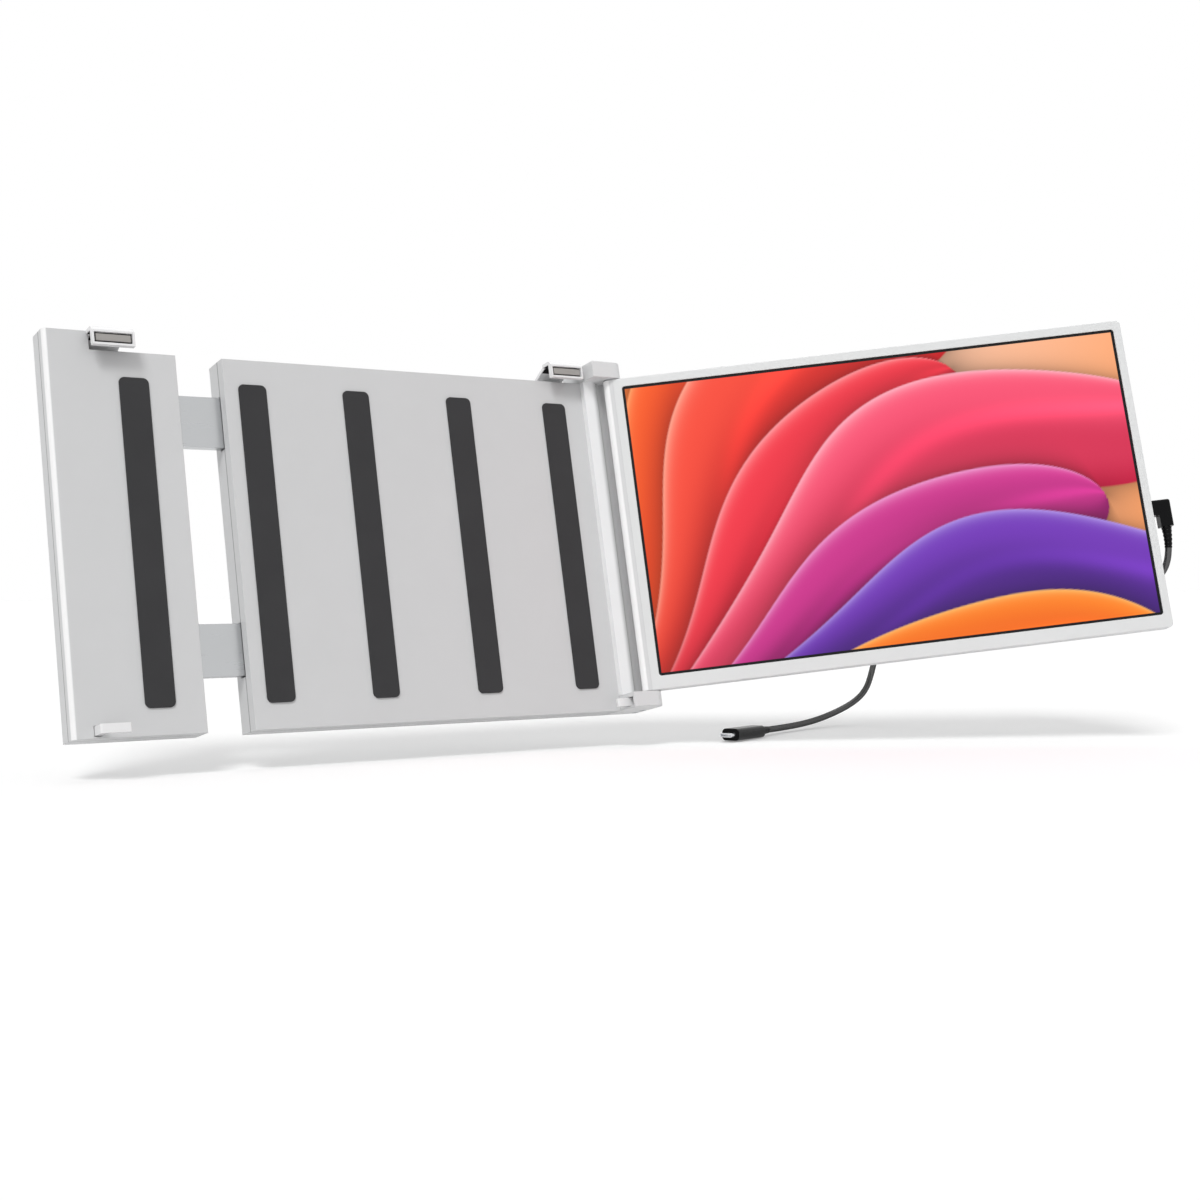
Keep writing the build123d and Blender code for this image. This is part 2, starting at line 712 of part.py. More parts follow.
def grip_pad(hook_x):
    """The rubber grip in the lip of a top hook, sunk a little below its face."""
    reach = hook_width / 2 - grip_margin - grip_gap
    with BuildPart() as grip:
        box_between(
            (hook_x - reach, hook_front_y + grip_sunk, grip_z - grip_height / 2),
            (hook_x + reach, hook_front_y + grip_recess, grip_z + grip_height / 2),
        )
    return grip.part


def hook_guide(hook_x, ear_side):
    """A strap that holds a hook's stem against the rear shell, with one ear for two screws."""
    inner = stem_width / 2 + hook_fit
    outer = inner + guide_wall
    ear = sorted((hook_x + ear_side * inner, hook_x + ear_side * (outer + guide_ear)))
    with BuildPart() as guide:
        box_between(
            (hook_x - outer, stem_front_y - hook_fit - guide_wall, guide_foot),
            (hook_x + outer, inner_back_y, guide_foot + guide_height),
        )
        box_between(
            (ear[0], inner_back_y - guide_wall, guide_foot),
            (ear[1], inner_back_y, guide_foot + guide_height),
        )
        box_between(
            (hook_x - inner, stem_front_y - hook_fit, guide_foot - 1),
            (hook_x + inner, inner_back_y + 1, guide_foot + guide_height + 1),
            mode=Mode.SUBTRACT,
        )
        rods(guide_screws(hook_x, ear_side), small_shank_radius + screw_fit,
             inner_back_y - guide_wall - 1, inner_back_y + 1, mode=Mode.SUBTRACT)
    return guide.part


def hook_spring_at(hook_x):
    """The extension spring from the post up to the foot of a hook's stem."""
    middle_y = (stem_front_y + stem_back_y) / 2
    return coil(hook_spring_length, Location((hook_x, middle_y, stem_bottom - hook_spring_length)))


guide_head_y = inner_back_y - guide_wall - small_head_depth
for side, hook_x, ear_side in (("left", left_hook_x, 1), ("right", right_hook_x, -1)):
    write_part(top_hook(hook_x), f"{side}_top_hook")
    write_part(grip_pad(hook_x), f"{side}_grip_pad")
    write_part(hook_spring_at(hook_x), f"{side}_hook_spring")
    write_part(hook_guide(hook_x, ear_side), f"{side}_hook_guide")
    write_part(
        screws(guide_screws(hook_x, ear_side), guide_head_y, bar_tip_y, small_screw_sizes),
        f"{side}_hook_guide_screws",
    )


# ================================================================ sprung side hooks
def side_hook(low_x, high_x, stem_x):
    """A bar in front of the lid's edge on a stem that runs back to a wider foot."""
    low_z = side_hook_z - side_hook_height / 2
    high_z = side_hook_z + side_hook_height / 2
    with BuildPart() as hook:
        box_between((low_x, -lid_gap - side_hook_wall, low_z), (high_x, -lid_gap, high_z))
        box_between((stem_x, -lid_gap - 1, low_z), (stem_x + side_stem_width, side_stem_end_y, high_z))
        box_between(
            (stem_x, side_stem_end_y - side_foot_thickness, low_z),
            (stem_x + side_foot_width, side_stem_end_y, high_z),
        )
        nose = hook.edges().filter_by(Axis.Z).group_by(Axis.Y)[0]
        fillet(nose, side_hook_nose)
    return hook.part


def side_spring_at(stem_x):
    """The extension spring from the foot of a side hook back to the end of its room."""
    place = Location((stem_x + side_stem_width / 2, side_stem_end_y, side_hook_z), (-90, 0, 0))
    return coil(side_room_back_y - side_stem_end_y, place)


for side, ends, stem_x in (
    ("left", side_hook_left, side_hook_left[0]),
    ("right", side_hook_right, side_hook_right[1] - side_stem_width),
):
    write_part(side_hook(ends[0], ends[1], stem_x), f"{side}_side_hook")
    write_part(side_spring_at(stem_x), f"{side}_side_hook_spring")

# ================================================================ hinge column, blocks and pins
with BuildPart() as column:
    groove_sweep = math.degrees(math.acos((column_front_y - axis_y) / column_groove_radius))
    with BuildSketch(Plane.XY.offset(column_foot)):
        with BuildLine():
            groove = CenterArc((axis_x, axis_y), column_groove_radius, 90, groove_sweep)
            Polyline(
                groove @ 1, (housing_right, column_front_y), (housing_right, back_y),
                (block_right, back_y),
                (block_right, axis_y + column_groove_radius + column_slope_rise), groove @ 0,
            )
        make_face()
    extrude(amount=column_top - column_foot)
    box_between(
        (column_cavity[0], column_cavity[2], column_foot - 1),
        (column_cavity[1], column_cavity[3], column_top + 1),
        mode=Mode.SUBTRACT,
    )
    upright_rods(block_screws, shank_radius + screw_fit, top - block_hole_length, column_top + 1,
                 mode=Mode.SUBTRACT)
    upright_rods(block_screws, shank_radius + screw_fit, column_foot - 1, foot + block_hole_length,
                 mode=Mode.SUBTRACT)


def block_body(low_z, high_z):
    """A hinge block: seen from above, its front right corner is round about the axis."""
    with BuildSketch(Plane.XY.offset(low_z)) as plan:
        with BuildLine():
            nose = CenterArc((axis_x, axis_y), block_radius, -90, 90)
            Polyline(
                nose @ 1, (block_right, back_y), (block_left, back_y),
                (block_left, block_front_y), nose @ 0,
            )
        make_face()
    extrude(plan.sketch, amount=high_z - low_z)


with BuildPart() as top_block:
    block_body(column_top, top)
    fillet(top_block.edges().group_by(Axis.Z)[-1], block_edge)
    upright_rods([(axis_x, axis_y)], pin_radius, column_top - 1, column_top + pin_block_depth,
                 mode=Mode.SUBTRACT)
    upright_rods(block_screws, shank_radius + screw_fit, column_top - 1, top + 1, mode=Mode.SUBTRACT)
    upright_rods(block_screws, head_radius + screw_fit, top - head_depth, top + 1, mode=Mode.SUBTRACT)

with BuildPart() as bottom_block:
    block_body(foot, column_foot)
    fillet(bottom_block.edges().group_by(Axis.Z)[0], block_edge)
    upright_rods([(axis_x, axis_y)], pin_radius, column_foot - pin_block_depth, column_foot + 1,
                 mode=Mode.SUBTRACT)
    upright_rods(block_screws, shank_radius + screw_fit, foot - 1, column_foot + 1, mode=Mode.SUBTRACT)
    upright_rods(block_screws, head_radius + screw_fit, foot - 1, foot + head_depth, mode=Mode.SUBTRACT)
    open_for_side_stem(side_hook_right[1] - side_stem_width, side_hook_pulled_y)
    box_between(
        (block_left - 1, side_hook_pulled_y, side_hook_z - side_hook_height / 2 - side_fit),
        (side_hook_right[1] + side_fit, -lid_gap + side_fit, side_hook_z + side_hook_height / 2 + side_fit),
        mode=Mode.SUBTRACT,
    )

with BuildPart() as top_pin:
    upright_rods([(axis_x, axis_y)], pin_radius, monitor_top - pin_knuckle_depth,
                 column_top + pin_block_depth)
    chamfer(top_pin.edges().filter_by(GeomType.CIRCLE), pin_chamfer)

with BuildPart() as bottom_pin:
    upright_rods([(axis_x, axis_y)], pin_radius, column_foot - pin_block_depth,
                 monitor_foot + pin_knuckle_depth)
    chamfer(bottom_pin.edges().filter_by(GeomType.CIRCLE), pin_chamfer)

with BuildPart() as washers:
    for low_z in (column_top - washer_thickness, column_foot):
        upright_rods([(axis_x, axis_y)], washer_radius, low_z, low_z + washer_thickness)
    upright_rods([(axis_x, axis_y)], pin_radius, column_foot - 1, column_top + 1, mode=Mode.SUBTRACT)

# The block screws are made lying along Y and are then stood up.
stand_up = Location((0, 0, 0), (90, 0, 0))
lying_places = [(x, -y) for x, y in block_screws]
with BuildPart() as block_screw_group:
    add(screws(lying_places, top, top - block_screw_length, screw_sizes).moved(stand_up))
    add(screws(lying_places, foot, foot + block_screw_length, screw_sizes).moved(stand_up))

write_part(column.part, "hinge_column")
write_part(top_block.part, "top_hinge_block")
write_part(bottom_block.part, "bottom_hinge_block")
write_part(top_pin.part, "top_hinge_pin")
write_part(bottom_pin.part, "bottom_hinge_pin")
write_part(washers.part, "hinge_washers")
write_part(block_screw_group.part, "hinge_block_screws")

# ================================================================ monitor
leaf_top_low = cavity_top - knuckle_fit - leaf_height
leaf_foot_low = cavity_foot + knuckle_fit
leaf_screws = [
    (x, low_z + leaf_height * share)
    for x in leaf_screw_x for low_z in (leaf_top_low, leaf_foot_low) for share in pair_shares
]


def edge_shape(middle_z, thickness, length, corner, low_x, high_x, mode=Mode.ADD):
    """A rounded bar or hole along X at the height of the ports, long side upright."""
    with BuildSketch(Plane(origin=(low_x, port_y, middle_z), x_dir=(0, 1, 0), z_dir=(1, 0, 0))) as face:
        RectangleRounded(thickness, length, corner)
    extrude(face.sketch, amount=high_x - low_x, mode=mode)


def clear_knuckles():
    """Room for the two hinge knuckles, inside a builder block."""
    room = knuckle_height + knuckle_fit
    for low_z, high_z in ((monitor_top - room, monitor_top + 1), (monitor_foot - 1, monitor_foot + room)):
        upright_rods([(0, 0)], knuckle_radius + knuckle_fit, low_z, high_z, mode=Mode.SUBTRACT)


with BuildPart() as back_cover:
    with BuildSketch(Plane.XY.offset(monitor_foot)):
        Circle(half_thickness)
        with Locations((monitor_right / 2, (shell_seam_y + half_thickness) / 2)):
            Rectangle(monitor_right, half_thickness - shell_seam_y)
        with Locations((bezel_seam_x / 2, 0)):
            Rectangle(bezel_seam_x, monitor_thickness)
    extrude(amount=monitor_top - monitor_foot)
    box_between(
        (bezel_seam_x, -half_thickness - 1, monitor_foot - 1), (barrel_solid, shell_seam_y, monitor_top + 1),
        mode=Mode.SUBTRACT,
    )
    fillet(back_cover.edges().filter_by(Axis.Y).group_by(Axis.X)[-1], monitor_corner)
    fillet(back_cover.edges().group_by(Axis.X)[-1].group_by(Axis.Y)[-1], cover_edge)
    box_between((barrel_solid, shell_seam_y - 1, cavity_foot), (cavity_right, cavity_back_y, cavity_top),
                mode=Mode.SUBTRACT)
    clear_knuckles()
    for low_z in (leaf_top_low, leaf_foot_low):
        box_between(
            (0, leaf_front_y - knuckle_fit, low_z - knuckle_fit),
            (barrel_solid + 1, cavity_back_y, low_z + leaf_height + knuckle_fit),
            mode=Mode.SUBTRACT,
        )
    rods(monitor_screws, small_boss_radius, chassis_back_y, cavity_back_y + boss_root)
    rods(monitor_screws, small_shank_radius + screw_fit, chassis_back_y - 1, half_thickness + 1,
         mode=Mode.SUBTRACT)
    rods(monitor_screws, small_head_radius + screw_fit, half_thickness - small_head_depth,
         half_thickness + 1, mode=Mode.SUBTRACT)
    rods(leaf_screws, small_shank_radius + screw_fit, cavity_back_y - 1, leaf_tip_y + screw_end_gap,
         mode=Mode.SUBTRACT)
    for z in usb_port_z:
        edge_shape(z, port_height + 2 * port_fit, usb_port_width + 2 * port_fit, port_corner,
                   cavity_right - 1, monitor_right + 1, mode=Mode.SUBTRACT)
    edge_shape(video_port_z, port_height + 2 * port_fit, video_port_width + 2 * port_fit, port_corner,
               cavity_right - 1, monitor_right + 1, mode=Mode.SUBTRACT)
    for z, length in zip(button_z, button_lengths):
        edge_shape(z, button_height + 2 * button_fit, length + 2 * button_fit, button_corner,
                   cavity_right - 1, monitor_right + 1, mode=Mode.SUBTRACT)
    for x in speaker_x:
        for slot in range(slot_count):
            slot_x = x + (slot - (slot_count - 1) / 2) * slot_pitch
            box_between(
                (slot_x - slot_width / 2, cavity_back_y - 1, speaker_z - slot_height / 2),
                (slot_x + slot_width / 2, half_thickness + 1, speaker_z + slot_height / 2),
                mode=Mode.SUBTRACT,
            )

with BuildPart() as bezel:
    box_between((bezel_seam_x, -half_thickness, monitor_foot), (monitor_right, shell_seam_y, monitor_top))
    fillet(bezel.edges().filter_by(Axis.Y).group_by(Axis.X)[-1], monitor_corner)
    fillet(bezel.edges().group_by(Axis.Y)[0].sort_by(Axis.X)[1:], bezel_edge)
    box_between(
        (bezel_seam_x + shell_wall, glass_front_y, cavity_foot), (cavity_right, shell_seam_y + 1, cavity_top),
        mode=Mode.SUBTRACT,
    )
    with BuildSketch(facing_back((left_margin + picture_right) / 2, -half_thickness - 1,
                                 (picture_foot + picture_top) / 2)):
        RectangleRounded(picture_width + 2 * mask_border, picture_height + 2 * mask_border, window_corner)
    extrude(amount=bezel_face + 2, mode=Mode.SUBTRACT)
    clear_knuckles()

with BuildPart() as lcd_panel:
    box_between((glass_left, glass_front_y, glass_foot), (glass_right, glass_back_y, glass_top))

with BuildPart() as backlight:
    box_between(
        (glass_left + chassis_margin, glass_back_y, glass_foot + chassis_margin),
        (glass_right - chassis_margin, backlight_back_y, glass_top - chassis_margin),
    )

with BuildPart() as chassis:
    box_between(
        (barrel_solid + chassis_margin, backlight_back_y, glass_foot + chassis_margin),
        (glass_right - chassis_margin, chassis_back_y, glass_top - chassis_margin),
    )
    rods(board_posts + key_board_posts, standoff_radius, backlight_back_y, board_front_y)
    rods(board_posts + key_board_posts, small_shank_radius + screw_fit, backlight_back_y,
         board_front_y + 1, mode=Mode.SUBTRACT)
    rods(monitor_screws, small_shank_radius + screw_fit, backlight_back_y - 1, chassis_back_y + 1,
         mode=Mode.SUBTRACT)
    box_between(
        (board_right - port_relief, backlight_back_y - 1, video_port_z - video_port_width),
        (glass_right, chassis_back_y + 1, usb_port_z[0] + usb_port_width),
        mode=Mode.SUBTRACT,
    )

with BuildPart() as driver_board:
    box_between((board_left, board_front_y, board_foot), (board_right, board_back_y, board_top))
    for x, z, width, height in chips:
        box_between(
            (board_left + x - width / 2, board_back_y - chip_sink, board_foot + z - height / 2),
            (board_left + x + width / 2, board_back_y + chip_height, board_foot + z + height / 2),
        )
    rods(board_posts, small_shank_radius + screw_fit, board_front_y - 1, board_back_y + 1,
         mode=Mode.SUBTRACT)

with BuildPart() as display_ribbon:
    low_z = glass_foot - ribbon_drop
    near_y = glass_back_y - glass_thickness / 2
    far_y = board_back_y + ribbon_thickness
    for ribbon_front_y, ribbon_back_y, high_z in (
        (board_back_y, far_y, board_foot + ribbon_lap),
        (near_y, far_y, low_z + ribbon_thickness),
        (near_y, near_y + ribbon_thickness, glass_foot),
    ):
        box_between(
            (ribbon_left, ribbon_front_y, low_z), (ribbon_left + ribbon_width, ribbon_back_y, high_z)
        )

with BuildPart() as key_board:
    box_between(
        (key_board_left, board_front_y, key_board_z[0]), (key_board_right, board_back_y, key_board_z[1])
    )
    for z, length in zip(button_z, button_lengths):
        box_between(
            (switch_face_x - switch_length, port_y - button_height / 2, z - length * switch_share / 2),
            (switch_face_x, port_y + button_height / 2, z + length * switch_share / 2),
        )
    rods(key_board_posts, small_shank_radius + screw_fit, board_front_y - 1, board_back_y + 1,
         mode=Mode.SUBTRACT)

with BuildPart() as speakers:
    for x in speaker_x:
        box_between(
            (x - speaker_length / 2, cavity_back_y - speaker_depth, speaker_z - speaker_height / 2),
            (x + speaker_length / 2, cavity_back_y, speaker_z + speaker_height / 2),
        )
    fillet(speakers.edges().filter_by(Axis.Y), button_corner)


def port(middle_z, length):
    """A metal port shell that opens to the right, with a tongue in its middle."""
    with BuildPart() as shell:
        edge_shape(middle_z, port_height, length, port_corner, board_right, monitor_right)
        edge_shape(
            middle_z, port_height - 2 * port_wall, length - 2 * port_wall, port_corner - port_wall,
            board_right + port_wall, monitor_right + 1, mode=Mode.SUBTRACT,
        )
        box_between(
            (board_right, port_y - tongue_thickness / 2, middle_z - length / 2 + tongue_margin),
            (board_right + port_wall + tongue_length, port_y + tongue_thickness / 2,
             middle_z + length / 2 - tongue_margin),
        )
    return shell.part


with BuildPart() as usb_ports:
    for z in usb_port_z:
        add(port(z, usb_port_width))


def hinge_leaf(knuckle_foot, leaf_low):
    """A steel leaf along the inside of the back cover, with a knuckle round the hinge pin."""
    with BuildPart() as leaf:
        upright_rods([(0, 0)], knuckle_radius, knuckle_foot, knuckle_foot + knuckle_height)
        box_between((0, leaf_front_y, leaf_low), (leaf_reach, cavity_back_y, leaf_low + leaf_height))
        upright_rods([(0, 0)], pin_radius + pin_fit, knuckle_foot - 1, knuckle_foot + knuckle_height + 1,
                     mode=Mode.SUBTRACT)
        holes = [(x, z) for x, z in leaf_screws if leaf_low < z < leaf_low + leaf_height]
        rods(holes, small_shank_radius + screw_fit, leaf_front_y - 1, cavity_back_y + 1, mode=Mode.SUBTRACT)
    return leaf.part


for piece, name in (
    (back_cover.part, "monitor_back_cover"),
    (bezel.part, "monitor_front_bezel"),
    (lcd_panel.part, "lcd_panel"),
    (backlight.part, "backlight"),
    (chassis.part, "monitor_chassis"),
    (driver_board.part, "driver_board"),
    (display_ribbon.part, "display_ribbon"),
    (key_board.part, "button_board"),
    (speakers.part, "speakers"),
    (usb_ports.part, "usb_c_ports"),
    (port(video_port_z, video_port_width), "video_port"),
    (hinge_leaf(monitor_top - knuckle_height, leaf_top_low), "upper_hinge_leaf"),
    (hinge_leaf(monitor_foot, leaf_foot_low), "lower_hinge_leaf"),
    (screws(leaf_screws, leaf_front_y - small_head_depth, leaf_tip_y, small_screw_sizes), "hinge_leaf_screws"),
    (screws(monitor_screws, half_thickness, chassis_tip_y, small_screw_sizes), "monitor_screws"),
    (screws(board_posts + key_board_posts, board_back_y + small_head_depth, chassis_tip_y,
            small_screw_sizes), "board_screws"),
):
    write_part(piece, name, hang_monitor)

# ================================================================ buttons on the monitor's edge
for name, z, length in zip(("power_button", "menu_up_button", "menu_down_button"), button_z, button_lengths):
    with BuildPart() as button:
        edge_shape(z, button_height, length, button_corner, flange_face_x - button_flange / 2,
                   monitor_right + button_proud)
        edge_shape(
            z, button_height + 2 * button_flange_edge, length + 2 * button_flange_edge, button_corner,
            flange_face_x - button_flange, flange_face_x,
        )
        fillet(button.edges().group_by(Axis.X)[-1], button_dome)
    write_part(button.part, name, hang_monitor)

# ================================================================ plugs and cord
with BuildPart() as monitor_plug:
    low_y = port_y - plug_thickness / 2
    high_y = port_y + plug_thickness / 2
    box_between((plug_face_x, low_y, plug_foot), (plug_face_x + plug_width, high_y, plug_top))
    box_between(
        (plug_face_x - 1, low_y - 1, plug_foot - 1),
        (plug_face_x + plug_elbow, high_y + 1, plug_top - plug_neck_height),
        mode=Mode.SUBTRACT,
    )
    fillet(monitor_plug.edges().filter_by(Axis.Z).group_by(Axis.X)[-1], plug_edge)
    fillet(monitor_plug.edges().filter_by(Axis.Y).group_by(Axis.X)[-1].sort_by(Axis.Z)[-1], plug_edge)

with BuildPart() as monitor_plug_shell:
    edge_shape(usb_port_z[0], plug_shell_thickness, plug_shell_width, plug_shell_corner,
               plug_face_x - plug_shell_length, plug_face_x)
    edge_shape(
        usb_port_z[0], plug_shell_thickness - 2 * plug_shell_wall, plug_shell_width - 2 * plug_shell_wall,
        plug_shell_corner - plug_shell_wall, plug_face_x - plug_shell_length - 1,
        plug_face_x - plug_shell_length + plug_shell_hollow, mode=Mode.SUBTRACT,
    )

write_part(monitor_plug.part, "monitor_plug", hang_monitor)
write_part(monitor_plug_shell.part, "monitor_plug_shell", hang_monitor)

exit_point = (hang_monitor * Location(cord_exit)).position
down = (lean_back * Location((0, 0, -1))).position
route = [exit_point, exit_point + down * cord_start_run] + [Vector(*point) for point in cord_route]
bend_radii = []
for before, corner, after in zip(route, route[1:], route[2:]):
    half_turn = math.radians((corner - before).get_angle(after - corner)) / 2
    shorter = min((corner - before).length, (after - corner).length)
    bend_radii.append(cord_bend_share * shorter / math.tan(half_turn))
print("cord bend radii", [round(radius, 1) for radius in bend_radii])

with BuildPart() as cord:
    with BuildLine() as cord_path:
        FilletPolyline(*route, radius=bend_radii)
    with BuildSketch(Plane(origin=route[0], z_dir=route[1] - route[0])):
        Circle(cord_radius)
    sweep()
cord_length = cord_path.wires()[0].length
section = math.pi * cord_radius**2
print("cord length", round(cord_length, 1), "volume over section times length",
      round(cord.part.volume / (section * cord_length), 4))

# The far plug lies along the cord's last run: +X towards its tip, its flat side down.
along = (route[-1] - route[-2]).normalized()
across = Vector(0, 0, 1).cross(along).normalized()
lay_plug = Plane(origin=route[-1], x_dir=along, z_dir=along.cross(across)).location

with BuildPart() as laptop_plug:
    box_between(
        (0, -laptop_plug_width / 2, -laptop_plug_thickness / 2),
        (laptop_plug_length, laptop_plug_width / 2, laptop_plug_thickness / 2),
    )
    fillet(laptop_plug.edges().filter_by(Axis.X), laptop_plug_edge)
    fillet(laptop_plug.edges().group_by(Axis.X)[-1], bezel_edge)

with BuildPart() as laptop_plug_shell:
    tip_x = laptop_plug_length + plug_shell_length
    for thinner, low_x, high_x, mode in (
        (0, laptop_plug_length, tip_x, Mode.ADD),
        (plug_shell_wall, tip_x - plug_shell_hollow, tip_x + 1, Mode.SUBTRACT),
    ):
        with BuildSketch(Plane(origin=(low_x, 0, 0), x_dir=(0, 1, 0), z_dir=(1, 0, 0))):
            RectangleRounded(plug_shell_width - 2 * thinner, plug_shell_thickness - 2 * thinner,
                             plug_shell_corner - thinner)
        extrude(amount=high_x - low_x, mode=mode)

write_part(cord.part, "usb_cord", Location())
write_part(laptop_plug.part, "laptop_plug", lay_plug)
write_part(laptop_plug_shell.part, "laptop_plug_shell", lay_plug)
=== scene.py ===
import math

import bpy
import numpy as np
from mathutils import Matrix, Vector


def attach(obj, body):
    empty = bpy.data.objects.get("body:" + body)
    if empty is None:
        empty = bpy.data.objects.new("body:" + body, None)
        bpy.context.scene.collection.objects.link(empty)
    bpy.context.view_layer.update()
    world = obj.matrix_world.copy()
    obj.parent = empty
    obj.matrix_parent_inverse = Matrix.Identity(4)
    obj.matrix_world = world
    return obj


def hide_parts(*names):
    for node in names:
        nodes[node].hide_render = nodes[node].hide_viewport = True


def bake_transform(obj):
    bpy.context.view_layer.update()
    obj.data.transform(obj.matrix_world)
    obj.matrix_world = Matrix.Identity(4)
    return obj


# Laptop screen extender: satin silver bracket and bezel, lit screen, black cord
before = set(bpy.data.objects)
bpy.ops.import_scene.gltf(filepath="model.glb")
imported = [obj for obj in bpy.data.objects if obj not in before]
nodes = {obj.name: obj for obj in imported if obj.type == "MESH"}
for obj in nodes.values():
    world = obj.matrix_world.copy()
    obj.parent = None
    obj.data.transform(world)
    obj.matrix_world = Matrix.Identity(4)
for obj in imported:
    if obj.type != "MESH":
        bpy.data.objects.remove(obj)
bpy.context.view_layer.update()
print("frame loaded:", len(nodes), "nodes")

# the places that the pieces below are set against, in metres and degrees
placing = {
    "lean": 12.0,            # the bracket leans back with the lid
    "hinge": (0.170, -0.008),
    "open": 33.0,            # the monitor is swung this far forward
    "topHooks": {"left_top_hook": -0.1402, "right_top_hook": 0.1388},    # their middles
}


# a point of the upright bracket, leaned back: y and z turn about the X axis
def leanBack(x, y, z):
    turn = math.radians(placing["lean"])
    return np.stack([
        x + 0 * y,
        y * math.cos(turn) + z * math.sin(turn),
        -y * math.sin(turn) + z * math.cos(turn),
    ], axis=-1)


# a point of the monitor (x along the screen, y to its back), turned about the hinge and leaned
def onMonitor(x, y, z):
    turn = math.radians(placing["open"])
    across = placing["hinge"][0] + x * math.cos(turn) + y * math.sin(turn)
    deep = placing["hinge"][1] - x * math.sin(turn) + y * math.cos(turn)
    return leanBack(across, deep, z + 0 * x)


# ---- camera
camera = {
    "place": (-0.455183, -0.893873, -0.030202),
    "turn": (89.5713, 0.3491, -34.2579),
    "lens": 53.904,
    "sensor": 36,            # lens and sensor in millimetres
    "near": 0.01,
}
eyeData = bpy.data.cameras.new("eye")
eyeData.lens = camera["lens"]
eyeData.sensor_width = camera["sensor"]
eyeData.clip_start = camera["near"]
eye = bpy.data.objects.new("eye", eyeData)
eye.location = camera["place"]
eye.rotation_euler = [math.radians(a) for a in camera["turn"]]
bpy.context.scene.collection.objects.link(eye)
bpy.context.scene.camera = eye


# ---- mesh making
# a grid of points (rows, columns, 3) becomes one sheet of quads, wrapped round where asked
def gridMesh(name, points, wrap=False):
    rows, columns = points.shape[:2]
    index = np.arange(rows * columns).reshape(rows, columns)
    if wrap:
        index = np.concatenate([index, index[:, :1]], axis=1)
    quads = np.stack([index[:-1, :-1], index[:-1, 1:], index[1:, 1:], index[1:, :-1]], axis=-1)
    mesh = bpy.data.meshes.new(name)
    mesh.from_pydata(points.reshape(-1, 3).tolist(), [], quads.reshape(-1, 4).tolist())
    mesh.update()
    mesh.polygons.foreach_set("use_smooth", np.ones(len(mesh.polygons), bool))
    piece = bpy.data.objects.new(name, mesh)
    bpy.context.scene.collection.objects.link(piece)
    return piece


# a round profile carried along a path: at each path point a ring of its own radius, ends closed
# by rings of no radius; the rings' axes are square to the path and to each other
def sweepRound(name, path, radii, sides=32, guide=(0.31, 0.12, 0.94)):
    along = np.gradient(path, axis=0)
    along /= np.linalg.norm(along, axis=1, keepdims=True)
    first = np.cross(along, np.array(guide))
    first /= np.linalg.norm(first, axis=1, keepdims=True)
    second = np.cross(along, first)
    turn = np.linspace(0, 2 * np.pi, sides, endpoint=False)
    ring = (np.cos(turn)[None, :, None] * first[:, None, :]
            + np.sin(turn)[None, :, None] * second[:, None, :])
    return gridMesh(name, path[:, None, :] + radii[:, None, None] * ring, wrap=True)


# ---- finishes
def join(tree, start, end):
    tree.links.new(start, end)


# the place of each point in the upright bracket, or in the monitor, from its leaned place
def localPlace(tree, piece="bracket"):
    where = tree.nodes.new("ShaderNodeTexCoord")
    upright = tree.nodes.new("ShaderNodeMapping")
    upright.inputs["Rotation"].default_value = (math.radians(placing["lean"]), 0, 0)
    join(tree, where.outputs["Object"], upright.inputs["Vector"])
    if piece == "bracket":
        return upright.outputs["Vector"]
    hinge = tree.nodes.new("ShaderNodeVectorMath")
    hinge.operation = "SUBTRACT"
    hinge.inputs[1].default_value = (*placing["hinge"], 0)
    join(tree, upright.outputs["Vector"], hinge.inputs[0])
    straight = tree.nodes.new("ShaderNodeMapping")
    straight.inputs["Rotation"].default_value = (0, 0, math.radians(placing["open"]))
    join(tree, hinge.outputs["Vector"], straight.inputs["Vector"])
    return straight.outputs["Vector"]


# a painted or moulded finish: base colour with faint clouds, fine grain in gloss and bump, and
# soft edges; these numbers are the same in every finish
satinSettings = {
    "cloudScale": 35, "cloudDetail": 3, "grainDetail": 2,
    "glossLow": 0.9, "glossHigh": 1.12,      # shares of the finish's own roughness
    "edgeSamples": 6, "bump": 0.25,
}


